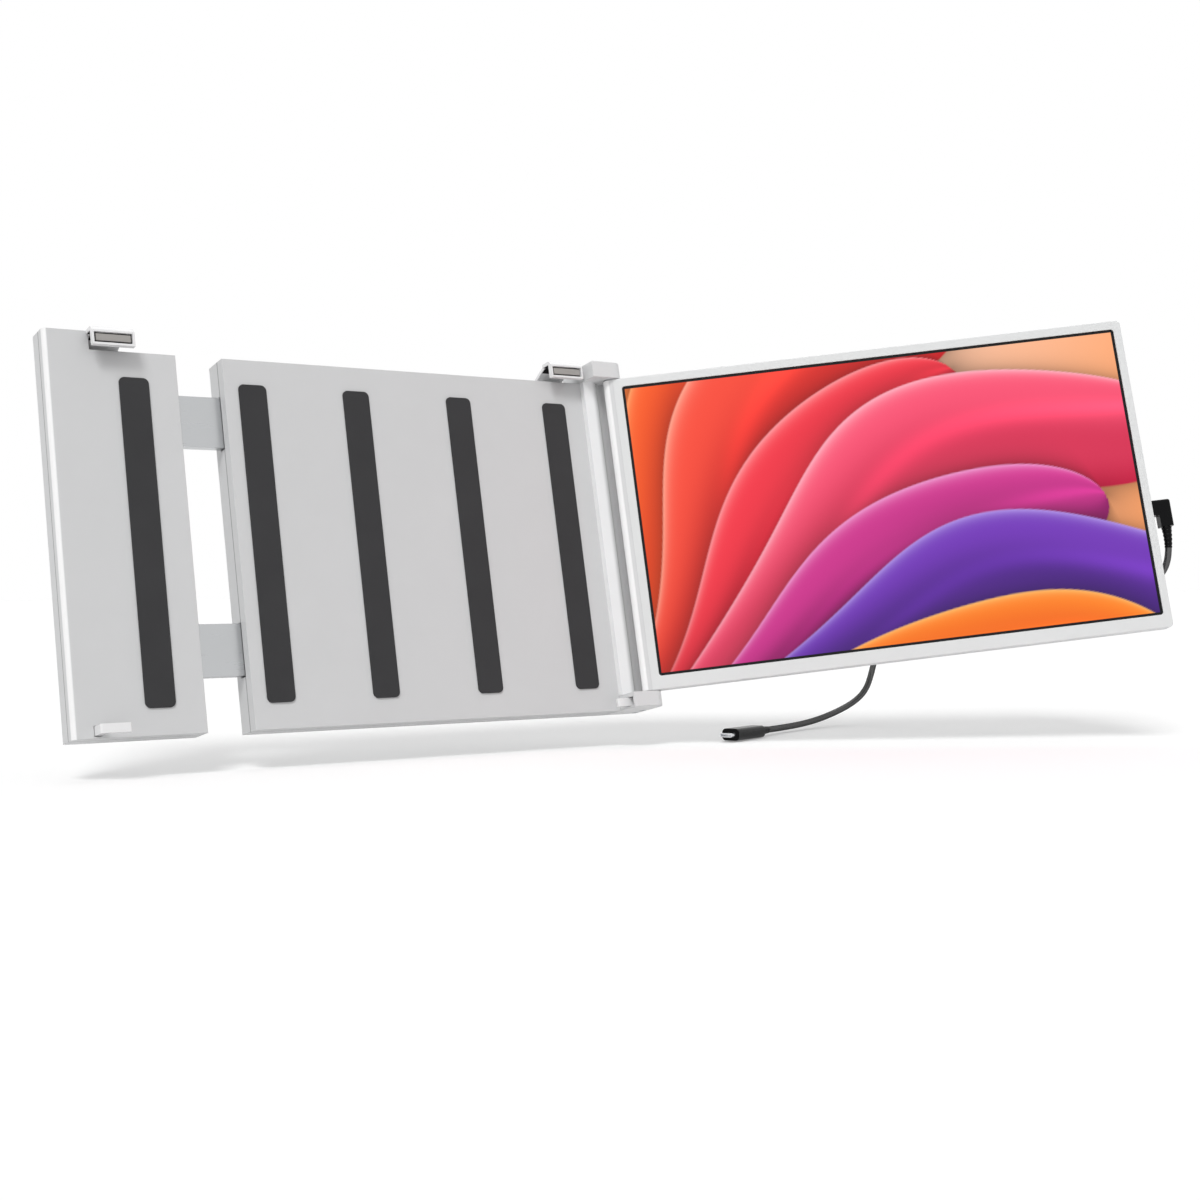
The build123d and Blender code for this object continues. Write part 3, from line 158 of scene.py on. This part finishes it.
def satinFinish(name, color, rough=0.4, metal=0.0, grain=2600, grainDepth=0.02, clouds=0.02,
                edge=0.0004, specular=0.5, coat=0.0):
    mat = bpy.data.materials.new(name)
    mat.use_nodes = True
    tree = mat.node_tree
    shader = tree.nodes["Principled BSDF"]
    shader.inputs["Metallic"].default_value = metal
    shader.inputs["Specular IOR Level"].default_value = specular
    shader.inputs["Coat Weight"].default_value = coat
    where = tree.nodes.new("ShaderNodeTexCoord")
    cloud = tree.nodes.new("ShaderNodeTexNoise")
    cloud.inputs["Scale"].default_value = satinSettings["cloudScale"]
    cloud.inputs["Detail"].default_value = satinSettings["cloudDetail"]
    join(tree, where.outputs["Object"], cloud.inputs["Vector"])
    tint = tree.nodes.new("ShaderNodeMixRGB")
    tint.name = "tint"
    tint.inputs[1].default_value = [c * (1 - clouds) for c in color] + [1]
    tint.inputs[2].default_value = [min(1, c * (1 + clouds)) for c in color] + [1]
    join(tree, cloud.outputs["Fac"], tint.inputs[0])
    join(tree, tint.outputs[0], shader.inputs["Base Color"])
    speck = tree.nodes.new("ShaderNodeTexNoise")
    speck.inputs["Scale"].default_value = grain
    speck.inputs["Detail"].default_value = satinSettings["grainDetail"]
    join(tree, where.outputs["Object"], speck.inputs["Vector"])
    gloss = tree.nodes.new("ShaderNodeMapRange")
    gloss.name = "gloss"
    gloss.inputs["To Min"].default_value = rough * satinSettings["glossLow"]
    gloss.inputs["To Max"].default_value = rough * satinSettings["glossHigh"]
    join(tree, speck.outputs["Fac"], gloss.inputs["Value"])
    join(tree, gloss.outputs["Result"], shader.inputs["Roughness"])
    soft = tree.nodes.new("ShaderNodeBevel")
    soft.inputs["Radius"].default_value = edge
    soft.samples = satinSettings["edgeSamples"]
    rise = tree.nodes.new("ShaderNodeBump")
    rise.name = "rise"
    rise.inputs["Strength"].default_value = satinSettings["bump"]
    rise.inputs["Distance"].default_value = grainDepth / 1000      # given in millimetres
    join(tree, speck.outputs["Fac"], rise.inputs["Height"])
    join(tree, soft.outputs["Normal"], rise.inputs["Normal"])
    join(tree, rise.outputs["Normal"], shader.inputs["Normal"])
    return mat


# metal with fine streaks along one direction of the piece
def brushedMetal(name, color, stretch=(40, 900, 900), rough=0.28, edge=0.0003):
    mat = satinFinish(name, color, rough=rough, metal=1.0, edge=edge)
    tree = mat.node_tree
    where = tree.nodes.new("ShaderNodeTexCoord")
    lay = tree.nodes.new("ShaderNodeMapping")
    lay.inputs["Scale"].default_value = stretch
    join(tree, where.outputs["Object"], lay.inputs["Vector"])
    streak = tree.nodes.new("ShaderNodeTexNoise")
    streak.inputs["Scale"].default_value = 1
    streak.inputs["Detail"].default_value = 4
    join(tree, lay.outputs["Vector"], streak.inputs["Vector"])
    join(tree, streak.outputs["Fac"], tree.nodes["gloss"].inputs["Value"])
    join(tree, streak.outputs["Fac"], tree.nodes["rise"].inputs["Height"])
    return mat


# lays another colour over a finish where the mask is 1
def layOver(mat, mask, color):
    tree = mat.node_tree
    shader = tree.nodes["Principled BSDF"]
    under = shader.inputs["Base Color"].links[0].from_socket
    over = tree.nodes.new("ShaderNodeMixRGB")
    over.inputs[2].default_value = (*color, 1)
    join(tree, mask, over.inputs[0])
    join(tree, under, over.inputs[1])
    join(tree, over.outputs[0], shader.inputs["Base Color"])


# 1 where a value lies between full and none, fading from full to none
def fadeMask(tree, value, full, none):
    fade = tree.nodes.new("ShaderNodeMapRange")
    fade.interpolation_type = "SMOOTHSTEP"
    fade.inputs["From Min"].default_value = none
    fade.inputs["From Max"].default_value = full
    join(tree, value, fade.inputs["Value"])
    return fade.outputs["Result"]


# a fine dark joint line where two shells meet, at its depth in the bracket or the monitor
seamSettings = {
    "depths": {"bracket": 0.0074, "monitor": -0.0005},
    "width": 0.00028, "fade": 1.8,
    "color": (0.26, 0.26, 0.265),
}


def addSeam(mat, piece):
    tree = mat.node_tree
    apart = tree.nodes.new("ShaderNodeSeparateXYZ")
    join(tree, localPlace(tree, piece), apart.inputs[0])
    off = tree.nodes.new("ShaderNodeMath")
    off.operation = "SUBTRACT"
    off.inputs[1].default_value = seamSettings["depths"][piece]
    join(tree, apart.outputs["Y"], off.inputs[0])
    size = tree.nodes.new("ShaderNodeMath")
    size.operation = "ABSOLUTE"
    join(tree, off.outputs[0], size.inputs[0])
    width = seamSettings["width"]
    layOver(mat, fadeMask(tree, size.outputs[0], width, width * seamSettings["fade"]),
            seamSettings["color"])


# the distance of each point from the hinge axis
def hingeDistance(tree):
    flat = tree.nodes.new("ShaderNodeVectorMath")
    flat.operation = "MULTIPLY"
    flat.inputs[1].default_value = (1, 1, 0)
    join(tree, localPlace(tree), flat.inputs[0])
    far = tree.nodes.new("ShaderNodeVectorMath")
    far.operation = "DISTANCE"
    far.inputs[1].default_value = (*placing["hinge"], 0)
    join(tree, flat.outputs["Vector"], far.inputs[0])
    return far.outputs["Value"]


# a painted highlight: a lighter band where the surface faces a given way of the upright bracket;
# full and none are the cosines between which it fades
highlightBandSettings = {
    "bracketSilver": {"facing": (-0.72, -0.69, 0), "color": (0.95, 0.95, 0.95),
                      "full": 0.93, "none": 0.80},
    "monitorSilver": {"facing": (-0.95, -0.30, 0), "color": (1.0, 1.0, 1.0),
                      "full": 0.93, "none": 0.84},
}


def paintHighlightBand(mat, facing, color, full, none):
    tree = mat.node_tree
    where = tree.nodes.new("ShaderNodeTexCoord")
    turn = tree.nodes.new("ShaderNodeVectorMath")
    turn.operation = "DOT_PRODUCT"
    leaned = leanBack(*[np.float64(v) for v in facing])
    turn.inputs[1].default_value = leaned / np.linalg.norm(leaned)
    join(tree, where.outputs["Normal"], turn.inputs[0])
    layOver(mat, fadeMask(tree, turn.outputs["Value"], full, none), color)


finishes = {
    "bracketSilver": satinFinish("bracketSilver", (0.655, 0.66, 0.665), rough=0.42),
    "monitorSilver": satinFinish("monitorSilver", (0.70, 0.705, 0.71), rough=0.42),
    "bezelSilver": satinFinish("bezelSilver", (0.76, 0.77, 0.77), rough=0.38),
    "hookSilver": satinFinish("hookSilver", (0.86, 0.86, 0.865), rough=0.22, coat=0.4),
    "blockSilver": satinFinish("blockSilver", (0.74, 0.745, 0.75), rough=0.3),
    "columnSilver": satinFinish("columnSilver", (0.92, 0.925, 0.93), rough=0.24),
    "barMetal": brushedMetal("barMetal", (0.52, 0.53, 0.54)),
    "channelMetal": brushedMetal("channelMetal", (0.60, 0.61, 0.62)),
    "screwSteel": brushedMetal("screwSteel", (0.36, 0.37, 0.39), stretch=(600, 600, 600)),
    "plated": brushedMetal("plated", (0.72, 0.73, 0.75), stretch=(300, 300, 300), rough=0.18),
    "padRubber": satinFinish("padRubber", (0.045, 0.045, 0.047), rough=0.8, grainDepth=0.06,
                             clouds=0.12, specular=0.2),
    "gripRubber": satinFinish("gripRubber", (0.36, 0.345, 0.33), rough=0.7, grainDepth=0.05,
                              clouds=0.1),
    # near-black rubber, dark enough to paint the shade inside the hooks and round the grips
    "rubberAndShade": satinFinish("rubberAndShade", (0.012, 0.012, 0.013), rough=0.7, grainDepth=0.04,
                                clouds=0.15, specular=0.15),
    "blackPanel": satinFinish("blackPanel", (0.004, 0.004, 0.005), rough=0.3, grainDepth=0.0,
                              edge=0.0001, specular=0.2),
    "plugBlack": satinFinish("plugBlack", (0.003, 0.003, 0.0035), rough=0.26, grainDepth=0.02,
                             specular=0.1),
    "cordSleeve": satinFinish("cordSleeve", (0.003, 0.003, 0.0035), rough=0.2, grain=900,
                              edge=0.0001, specular=0.12),
    "innerBlack": satinFinish("innerBlack", (0.02, 0.02, 0.022), rough=0.6),
    "boardGreen": satinFinish("boardGreen", (0.03, 0.17, 0.08), rough=0.35, clouds=0.2),
    "ribbonAmber": satinFinish("ribbonAmber", (0.52, 0.27, 0.05), rough=0.3),
    "diffuserWhite": satinFinish("diffuserWhite", (0.85, 0.85, 0.83), rough=0.3),
}
# painted sheen: the cord's sleeve reflects most where it faces the viewer, and is dull towards its
# outline
sleeveSheenSettings = {"ior": 1.6, "glossy": 0.0, "dull": 0.8}
sleeve = finishes["cordSleeve"].node_tree
sleeve.nodes["Principled BSDF"].inputs["IOR"].default_value = sleeveSheenSettings["ior"]
facing = sleeve.nodes.new("ShaderNodeLayerWeight")
join(sleeve, fadeMask(sleeve, facing.outputs["Facing"], sleeveSheenSettings["glossy"],
                      sleeveSheenSettings["dull"]),
     sleeve.nodes["Principled BSDF"].inputs["Specular IOR Level"])
# each silver finish gets its dark joint line and a painted highlight band
for finish, piece in (("bracketSilver", "bracket"), ("monitorSilver", "monitor")):
    addSeam(finishes[finish], piece)
    paintHighlightBand(finishes[finish], **highlightBandSettings[finish])
# painted shade: the column's hollow is darker, from the hinge axis out to where the mask fades
grooveShadeSettings = {"full": 0.0088, "none": 0.0118, "color": (0.50, 0.50, 0.505)}
grooveShadeTree = finishes["columnSilver"].node_tree
layOver(finishes["columnSilver"], fadeMask(grooveShadeTree, hingeDistance(grooveShadeTree),
                                           grooveShadeSettings["full"], grooveShadeSettings["none"]),
        grooveShadeSettings["color"])

wears = {
    "bracketSilver": ["arm_front_cover", "arm_rear_shell", "housing_front_cover",
                      "housing_rear_shell"],
    "monitorSilver": ["monitor_back_cover"],
    "bezelSilver": ["monitor_front_bezel", "power_button", "menu_up_button", "menu_down_button"],
    "hookSilver": ["left_top_hook", "right_top_hook", "left_side_hook", "right_side_hook"],
    "blockSilver": ["top_hinge_block", "bottom_hinge_block"],
    "columnSilver": ["hinge_column"],
    "barMetal": ["upper_slide_bar", "lower_slide_bar"],
    "channelMetal": ["upper_slide_channel", "lower_slide_channel", "monitor_chassis"],
    "screwSteel": ["housing_screws", "arm_screws", "slide_bar_screws", "slide_channel_screws",
                   "left_hook_guide_screws", "right_hook_guide_screws", "hinge_block_screws",
                   "hinge_leaf_screws", "monitor_screws", "board_screws", "top_hinge_pin",
                   "bottom_hinge_pin", "hinge_washers", "upper_hinge_leaf", "lower_hinge_leaf"],
    "plated": ["usb_c_ports", "video_port", "monitor_plug_shell", "laptop_plug_shell"],
    "padRubber": ["housing_rubber_pads", "arm_rubber_pad"],
    "gripRubber": ["left_grip_pad", "right_grip_pad"],
    "blackPanel": ["lcd_panel"],
    "plugBlack": ["monitor_plug", "laptop_plug"],
    "innerBlack": ["speakers", "left_hook_guide", "right_hook_guide"],
    "boardGreen": ["driver_board", "button_board"],
    "ribbonAmber": ["display_ribbon"],
    "diffuserWhite": ["backlight"],
}
for finish, wearers in wears.items():
    for nodeName in wearers:
        data = nodes[nodeName].data
        data.materials.clear()
        data.materials.append(finishes[finish])
print("finishes given to", sum(len(w) for w in wears.values()), "nodes")

# ---- cord
cordSettings = {
    "thickness": 0.004,
    "order": 3, "stepsPerCorner": 24, "roundness": 8,
    "exit": (0.44224, -0.18656, 0.00397),
    "points": [              # the route's corners, from the plug back and down to the table
        (0.44224, -0.18656, 0.00397), (0.44224, -0.18968, -0.01070), (0.441, -0.184, -0.027),
        (0.434, -0.163, -0.040), (0.425, -0.131, -0.0465), (0.415, -0.094, -0.0495),
        (0.406, -0.058, -0.054), (0.393, -0.027, -0.059), (0.3895, 0.0005, -0.065),
        (0.388, 0.012, -0.0795), (0.3875, 0.015, -0.0905), (0.383, 0.0155, -0.1015),
        (0.375, 0.018, -0.1095), (0.358, 0.019, -0.1163), (0.329, 0.010, -0.1206),
        (0.295, -0.002, -0.122), (0.258, -0.020, -0.1213),
    ],
}
line = bpy.data.curves.new("usbCordLine", "CURVE")
line.dimensions = "3D"
run = line.splines.new("NURBS")
run.points.add(len(cordSettings["points"]) - 1)
for spot, place in zip(run.points, cordSettings["points"]):
    spot.co = (*place, 1)
run.order_u = cordSettings["order"]
run.use_endpoint_u = True
run.resolution_u = cordSettings["stepsPerCorner"]
usbCord = bpy.data.objects.new("usbCord", line)
bpy.context.scene.collection.objects.link(usbCord)
bpy.context.view_layer.update()
bare = bpy.data.meshes.new_from_object(usbCord)     # the spline's own points, before it is thick
cordPath = np.zeros(len(bare.vertices) * 3)
bare.vertices.foreach_get("co", cordPath)
cordPath = cordPath.reshape(-1, 3)
steps = np.linalg.norm(np.diff(cordPath, axis=0), axis=1)
cordReach = np.concatenate([[0], np.cumsum(steps)])
cordLength = float(cordReach[-1])
line.bevel_depth = cordSettings["thickness"] / 2
line.bevel_resolution = cordSettings["roundness"]
line.use_fill_caps = True
line.materials.append(finishes["cordSleeve"])
print("cord line measures", round(cordLength, 4))


# strain relief: a sleeve over the cord that tapers as share to a power, with ring grooves cut in
# as a rounded square wave between two shares of its length
reliefSettings = {
    "thick": 0.0031, "thin": 0.0022, "taper": 0.8, "steps": 96,
    "grooveDepth": 0.00022, "grooveSharpness": 3, "grooveFrom": 0.12, "grooveTo": 0.9,
    "inset": 0.0002, "plugReach": 0.013, "plugRings": 5, "farReach": 0.016, "farRings": 6,
}


def strainRelief(name, start, end, rings):
    settings = reliefSettings
    share = np.linspace(0, 1, settings["steps"])
    reach = start + (end - start) * share
    path = np.stack([np.interp(reach, cordReach, cordPath[:, i]) for i in range(3)], axis=-1)
    wave = np.clip(np.cos(2 * np.pi * share * rings) * settings["grooveSharpness"], -1, 1)
    groove = np.where((share > settings["grooveFrom"]) & (share < settings["grooveTo"]),
                      settings["grooveDepth"] * (1 - wave) / 2, 0)
    radii = (settings["thick"] + (settings["thin"] - settings["thick"])
             * share ** settings["taper"] - groove)
    radii[0] = radii[-1] = 0
    return sweepRound(name, path, radii)


plugRelief = strainRelief("plugStrainRelief", reliefSettings["inset"],
                          reliefSettings["plugReach"], reliefSettings["plugRings"])
farRelief = strainRelief("farPlugStrainRelief", cordLength - reliefSettings["inset"],
                         cordLength - reliefSettings["farReach"], reliefSettings["farRings"])
for piece in (plugRelief, farRelief):
    piece.data.materials.append(finishes["plugBlack"])
    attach(piece, "monitor")
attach(usbCord, "monitor")
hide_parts("usb_cord")
print("cord laid")

# ---- rubber lining inside the top hooks, near-black so that it also paints the shade inside them
liningSettings = {
    "halfWidth": 0.0108, "neckHalfWidth": 0.0086, "neckDepth": 0.0002,
    "rows": 48, "columns": 9,
    # depth and height of the inner faces: up the lip, under the flat top, down the slope
    "profile": [(-0.00595, 0.0961), (-0.00595, 0.1037), (-0.0052, 0.10395), (0.0024, 0.10395),
                (0.0032, 0.10365), (0.0131, 0.0990)],
}
for hookName, middle in placing["topHooks"].items():
    corners = np.array(liningSettings["profile"])
    far = np.concatenate([[0], np.cumsum(np.linalg.norm(np.diff(corners, axis=0), axis=1))])
    spots = np.linspace(0, far[-1], liningSettings["rows"])
    depth, height = (np.interp(spots, far, corners[:, i]) for i in range(2))
    share = np.linspace(-1, 1, liningSettings["columns"])
    half = np.where(depth < liningSettings["neckDepth"], liningSettings["halfWidth"],
                    liningSettings["neckHalfWidth"])
    across = middle + half[:, None] * share[None, :]
    lining = gridMesh(hookName + "_lining", leanBack(
        across, depth[:, None] + 0 * across, height[:, None] + 0 * across))
    lining.data.materials.append(finishes["rubberAndShade"])
    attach(lining, hookName)

# painted shade: a dark sheet round each grip, just in front of the window's floor, stands in for
# the shadow in the gap about the grip
gripShadeSettings = {"halfWidth": 0.0100, "low": 0.0971, "high": 0.1025, "depth": -0.00774,
                "columns": 17, "rows": 9}
for hookName, middle in placing["topHooks"].items():
    s, t = np.meshgrid(np.linspace(-1, 1, gripShadeSettings["columns"]),
                       np.linspace(0, 1, gripShadeSettings["rows"]))
    gripShadeSheet = gridMesh(hookName + "_gripShade", leanBack(
        middle + s * gripShadeSettings["halfWidth"], gripShadeSettings["depth"] + 0 * s,
        gripShadeSettings["low"] + t * (gripShadeSettings["high"] - gripShadeSettings["low"])))
    gripShadeSheet.data.materials.append(finishes["rubberAndShade"])
    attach(gripShadeSheet, hookName)
print("hooks lined")

# ---- hook springs, wound from their fixed ends to their hooks
springSettings = {
    "coil": 0.0013, "wire": 0.0003, "pitch": 0.0021,         # both radii, and the pitch
    "stepsPerTurn": 24, "sides": 10,
    # each spring: the node it stands for, what holds its fixed end, its hook, fixed and moving end
    "springs": [
        ("left_hook_spring", "arm", "left_top_hook",
         (-0.1402, 0.0144, 0.0180), (-0.1402, 0.0144, 0.0440)),
        ("right_hook_spring", "bracket", "right_top_hook",
         (0.1388, 0.0144, 0.0180), (0.1388, 0.0144, 0.0440)),
        ("left_side_hook_spring", "arm", "left_side_hook",
         (-0.1610, 0.0154, -0.1022), (-0.1610, 0.0094, -0.1022)),
        ("right_side_hook_spring", "bracket", "right_side_hook",
         (0.1569, 0.0154, -0.1022), (0.1569, 0.0094, -0.1022)),
    ],
}
# a helix of whole turns: place = fixed end + share * run + coil * (cos, sin) of 2 pi turns share
for nodeName, holder, hookName, fixedEnd, movingEnd in springSettings["springs"]:
    start, end = (leanBack(*[np.float64(c) for c in place]) for place in (fixedEnd, movingEnd))
    length = np.linalg.norm(end - start)
    lengthwise = (end - start) / length
    sideways = np.array([1.0, 0.0, 0.0])
    turns = round(length / springSettings["pitch"])
    share = np.linspace(0, 1, turns * springSettings["stepsPerTurn"] + 1)[:, None]
    angle = 2 * np.pi * turns * share
    inset = springSettings["wire"] / length
    path = (start + (inset + (1 - 2 * inset) * share) * (end - start) + springSettings["coil"] * (
        np.cos(angle) * sideways + np.sin(angle) * np.cross(lengthwise, sideways)))
    radii = np.full(len(path), springSettings["wire"])
    radii[0] = radii[-1] = 0
    spring = sweepRound(nodeName + "_coil", path, radii, sides=springSettings["sides"],
                        guide=lengthwise)
    spring.data.materials.append(finishes["screwSteel"])
    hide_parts(nodeName)
    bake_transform(spring)
print("springs wound")

# ---- screen picture
pictureSettings = {
    "left": 0.0082, "foot": -0.0868, "width": 0.301, "height": 0.1755,
    "front": -0.00375,       # a hair in front of the glass
    "columns": 400, "rows": 236,
    "glow": 0.86, "body": 0.16, "rough": 0.22, "specular": 0.25,
    "root": (-0.22, -0.30),
    "groundStart": 0.15, "groundAcross": 0.5, "groundUp": 0.15,
    "bend": 0.13, "bendRate": 2.1, "bendStart": 0.9, "ripple": 0.02, "rippleRate": 5,
    "taper": 4, "edge": 0.005,
    "shade": 0.45, "shadeReach": 0.045,      # what lies behind a petal's edge
    "fold": 0.11, "foldAcross": 5.2, "foldAlong": 2.6,
    "tone": 0.42, "toneAcross": 0.5, "toneAlong": 0.22, "toneFrom": 0.6,
    "sheen": 0.35, "sheenSide": 0.35, "sheenDrift": 0.3, "sheenWidth": 0.16,
    "rimGlow": 0.9, "rimWidth": 0.07,
    "ground": ((255, 234, 218), (252, 160, 96)),
    # each petal: turn and width in degrees, reach, deep, light and rim colour
    "petals": [
        (86, 12, 1.50, (206, 110, 112), (250, 190, 170), (255, 232, 220)),
        (75, 13, 1.72, (232, 80, 26), (255, 156, 78), (255, 218, 178)),
        (63, 12, 1.62, (216, 30, 22), (255, 98, 38), (255, 180, 118)),
        (52, 13, 2.10, (206, 18, 30), (255, 84, 62), (255, 184, 160)),
        (41, 11, 1.84, (202, 12, 44), (255, 62, 78), (255, 176, 180)),
        (31.5, 11, 2.34, (196, 14, 62), (255, 88, 122), (255, 196, 210)),
        (22, 10, 1.96, (138, 12, 98), (222, 58, 152), (246, 176, 228)),
        (13, 9, 2.42, (50, 14, 104), (122, 58, 194), (190, 166, 244)),
        (4.5, 8, 2.05, (224, 52, 14), (255, 136, 34), (255, 208, 120)),
    ],
}


# a colour of 0 to 255 on the usual screen curve becomes linear light
def toLinear(color):
    c = np.asarray(color, float) / 255
    return np.where(c <= 0.04045, c / 12.92, ((c + 0.055) / 1.055) ** 2.4)


# a fan of curved petals from one root: each is as wide as its taper at that reach, runs from deep
# to light across it in soft folds, sin(side, reach), has a bright rim, and shades what lies behind
def fanOfPetals(across, up):
    fan = pictureSettings
    near, away = (toLinear(c) for c in fan["ground"])
    share = np.clip(fan["groundStart"] + fan["groundAcross"] * across - fan["groundUp"] * up,
                    0, 1)[..., None]
    color = near * (1 - share) + away * share
    dx, dy = across - fan["root"][0], up - fan["root"][1]
    reach = np.hypot(dx, dy)
    for turn, width, length, deep, light, rim in fan["petals"]:
        bend = (fan["bend"] * np.sin(fan["bendRate"] * reach - fan["bendStart"])
                + fan["ripple"] * np.sin(fan["rippleRate"] * reach + turn))
        off = np.arctan2(dy, dx) - np.radians(turn) - bend
        half = np.radians(width) * np.sqrt(np.clip(1 - (reach / length) ** fan["taper"], 0, 1))
        inside = np.where(reach < length, (half - np.abs(off)) * reach,
                          -np.hypot(reach - length, off * reach))
        side = np.clip(off / np.maximum(half, 1e-3), -1, 1)
        shadow = fan["shade"] * np.exp(-np.clip(-inside, 0, None) / fan["shadeReach"])
        color = color * (1 - shadow)[..., None]
        folds = (fan["fold"] * np.sin(fan["foldAcross"] * side + fan["foldAlong"] * reach + turn)
                 * (1 - side ** 2))
        tone = np.clip(fan["tone"] + fan["toneAcross"] * side + folds
                       + fan["toneAlong"] * (reach / length - fan["toneFrom"]), 0, 1)[..., None]
        petal = toLinear(deep) * (1 - tone) + toLinear(light) * tone
        beside = (side + fan["sheenSide"] - fan["sheenDrift"] * reach) / fan["sheenWidth"]
        petal = petal * (1 + fan["sheen"] * np.exp(-beside ** 2))[..., None]
        glow = (fan["rimGlow"] * np.exp(-(1 - side) / fan["rimWidth"]))[..., None]
        petal = petal * (1 - glow) + toLinear(rim) * glow
        cover = np.clip(inside / fan["edge"], 0, 1)[..., None]
        color = color * (1 - cover) + petal * cover
    return np.clip(color, 0, 1)


u, v = np.meshgrid(np.linspace(0, 1, pictureSettings["columns"]),
                   np.linspace(0, 1, pictureSettings["rows"]))
screenPicture = gridMesh("screenPicture", onMonitor(
    pictureSettings["left"] + u * pictureSettings["width"],
    np.full_like(u, pictureSettings["front"]),
    pictureSettings["foot"] + v * pictureSettings["height"],
))
shape = pictureSettings["width"] / pictureSettings["height"]
shades = screenPicture.data.color_attributes.new("petalColor", "FLOAT_COLOR", "POINT")
shades.data.foreach_set("color", np.concatenate(
    [fanOfPetals(u * shape, v), np.ones(u.shape + (1,))], axis=-1).ravel())
screenGlow = bpy.data.materials.new("screenGlow")
screenGlow.use_nodes = True
tree = screenGlow.node_tree
shader = tree.nodes["Principled BSDF"]
shader.inputs["Roughness"].default_value = pictureSettings["rough"]
shader.inputs["Specular IOR Level"].default_value = pictureSettings["specular"]
shader.inputs["Emission Strength"].default_value = pictureSettings["glow"]
read = tree.nodes.new("ShaderNodeVertexColor")
read.layer_name = "petalColor"
body = tree.nodes.new("ShaderNodeVectorMath")
body.operation = "SCALE"
body.inputs["Scale"].default_value = pictureSettings["body"]
join(tree, read.outputs["Color"], body.inputs[0])
join(tree, body.outputs["Vector"], shader.inputs["Base Color"])
join(tree, read.outputs["Color"], shader.inputs["Emission Color"])
screenPicture.data.materials.append(screenGlow)
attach(screenPicture, "monitor")
print("screen picture made")

# ---- floor, light and background
room = {
    "tableHeight": -0.1252,
    "tableSize": 30.0,
    "tableColor": (0.80, 0.80, 0.80),
    "tableRough": 0.95,
    # brings the open table to white for the camera, and leaves its shadows
    "tableLift": 0.25,
    "skyLight": 0.50,        # on the object; the camera and reflections see it at 1
}
half = room["tableSize"] / 2
table = gridMesh("table", np.array([
    [(-half, -half, room["tableHeight"]), (half, -half, room["tableHeight"])],
    [(-half, half, room["tableHeight"]), (half, half, room["tableHeight"])],
]))
tableFinish = bpy.data.materials.new("tableWhite")
tableFinish.use_nodes = True
tree = tableFinish.node_tree
shader = tree.nodes["Principled BSDF"]
shader.inputs["Base Color"].default_value = (*room["tableColor"], 1)
shader.inputs["Roughness"].default_value = room["tableRough"]
shader.inputs["Specular IOR Level"].default_value = 0
shader.inputs["Emission Color"].default_value = (1, 1, 1, 1)
ray = tree.nodes.new("ShaderNodeLightPath")
seen = tree.nodes.new("ShaderNodeMath")
seen.operation = "MAXIMUM"
join(tree, ray.outputs["Is Camera Ray"], seen.inputs[0])
join(tree, ray.outputs["Is Glossy Ray"], seen.inputs[1])
lift = tree.nodes.new("ShaderNodeMath")
lift.operation = "MULTIPLY"
lift.inputs[1].default_value = room["tableLift"]
join(tree, seen.outputs[0], lift.inputs[0])
join(tree, lift.outputs[0], shader.inputs["Emission Strength"])
table.data.materials.append(tableFinish)

sky = bpy.data.worlds.new("studio")
bpy.context.scene.world = sky
sky.use_nodes = True
tree = sky.node_tree
back = tree.nodes["Background"]
back.inputs["Color"].default_value = (1, 1, 1, 1)
ray = tree.nodes.new("ShaderNodeLightPath")
clear = tree.nodes.new("ShaderNodeMath")
clear.operation = "MAXIMUM"
join(tree, ray.outputs["Is Glossy Ray"], clear.inputs[0])
join(tree, ray.outputs["Is Transmission Ray"], clear.inputs[1])
seen = tree.nodes.new("ShaderNodeMath")
seen.operation = "MAXIMUM"
join(tree, ray.outputs["Is Camera Ray"], seen.inputs[0])
join(tree, clear.outputs[0], seen.inputs[1])
level = tree.nodes.new("ShaderNodeMapRange")
level.inputs["To Min"].default_value = room["skyLight"]
level.inputs["To Max"].default_value = 1.0
join(tree, seen.outputs[0], level.inputs["Value"])
join(tree, level.outputs["Result"], back.inputs["Strength"])

suns = {
    "keySun": {"from": (-0.9, -0.9, 1.5), "strength": 1.5, "spread": 22},
    "topSun": {"from": (0.35, 0.2, 1.0), "strength": 0.35, "spread": 50},
}
for sunName, sun in suns.items():
    data = bpy.data.lights.new(sunName, "SUN")
    data.energy = sun["strength"]
    data.angle = math.radians(sun["spread"])
    light = bpy.data.objects.new(sunName, data)
    light.rotation_euler = (-Vector(sun["from"])).to_track_quat("-Z", "Y").to_euler()
    bpy.context.scene.collection.objects.link(light)
bpy.context.scene.view_settings.view_transform = "Standard"
print("table and lamps set")
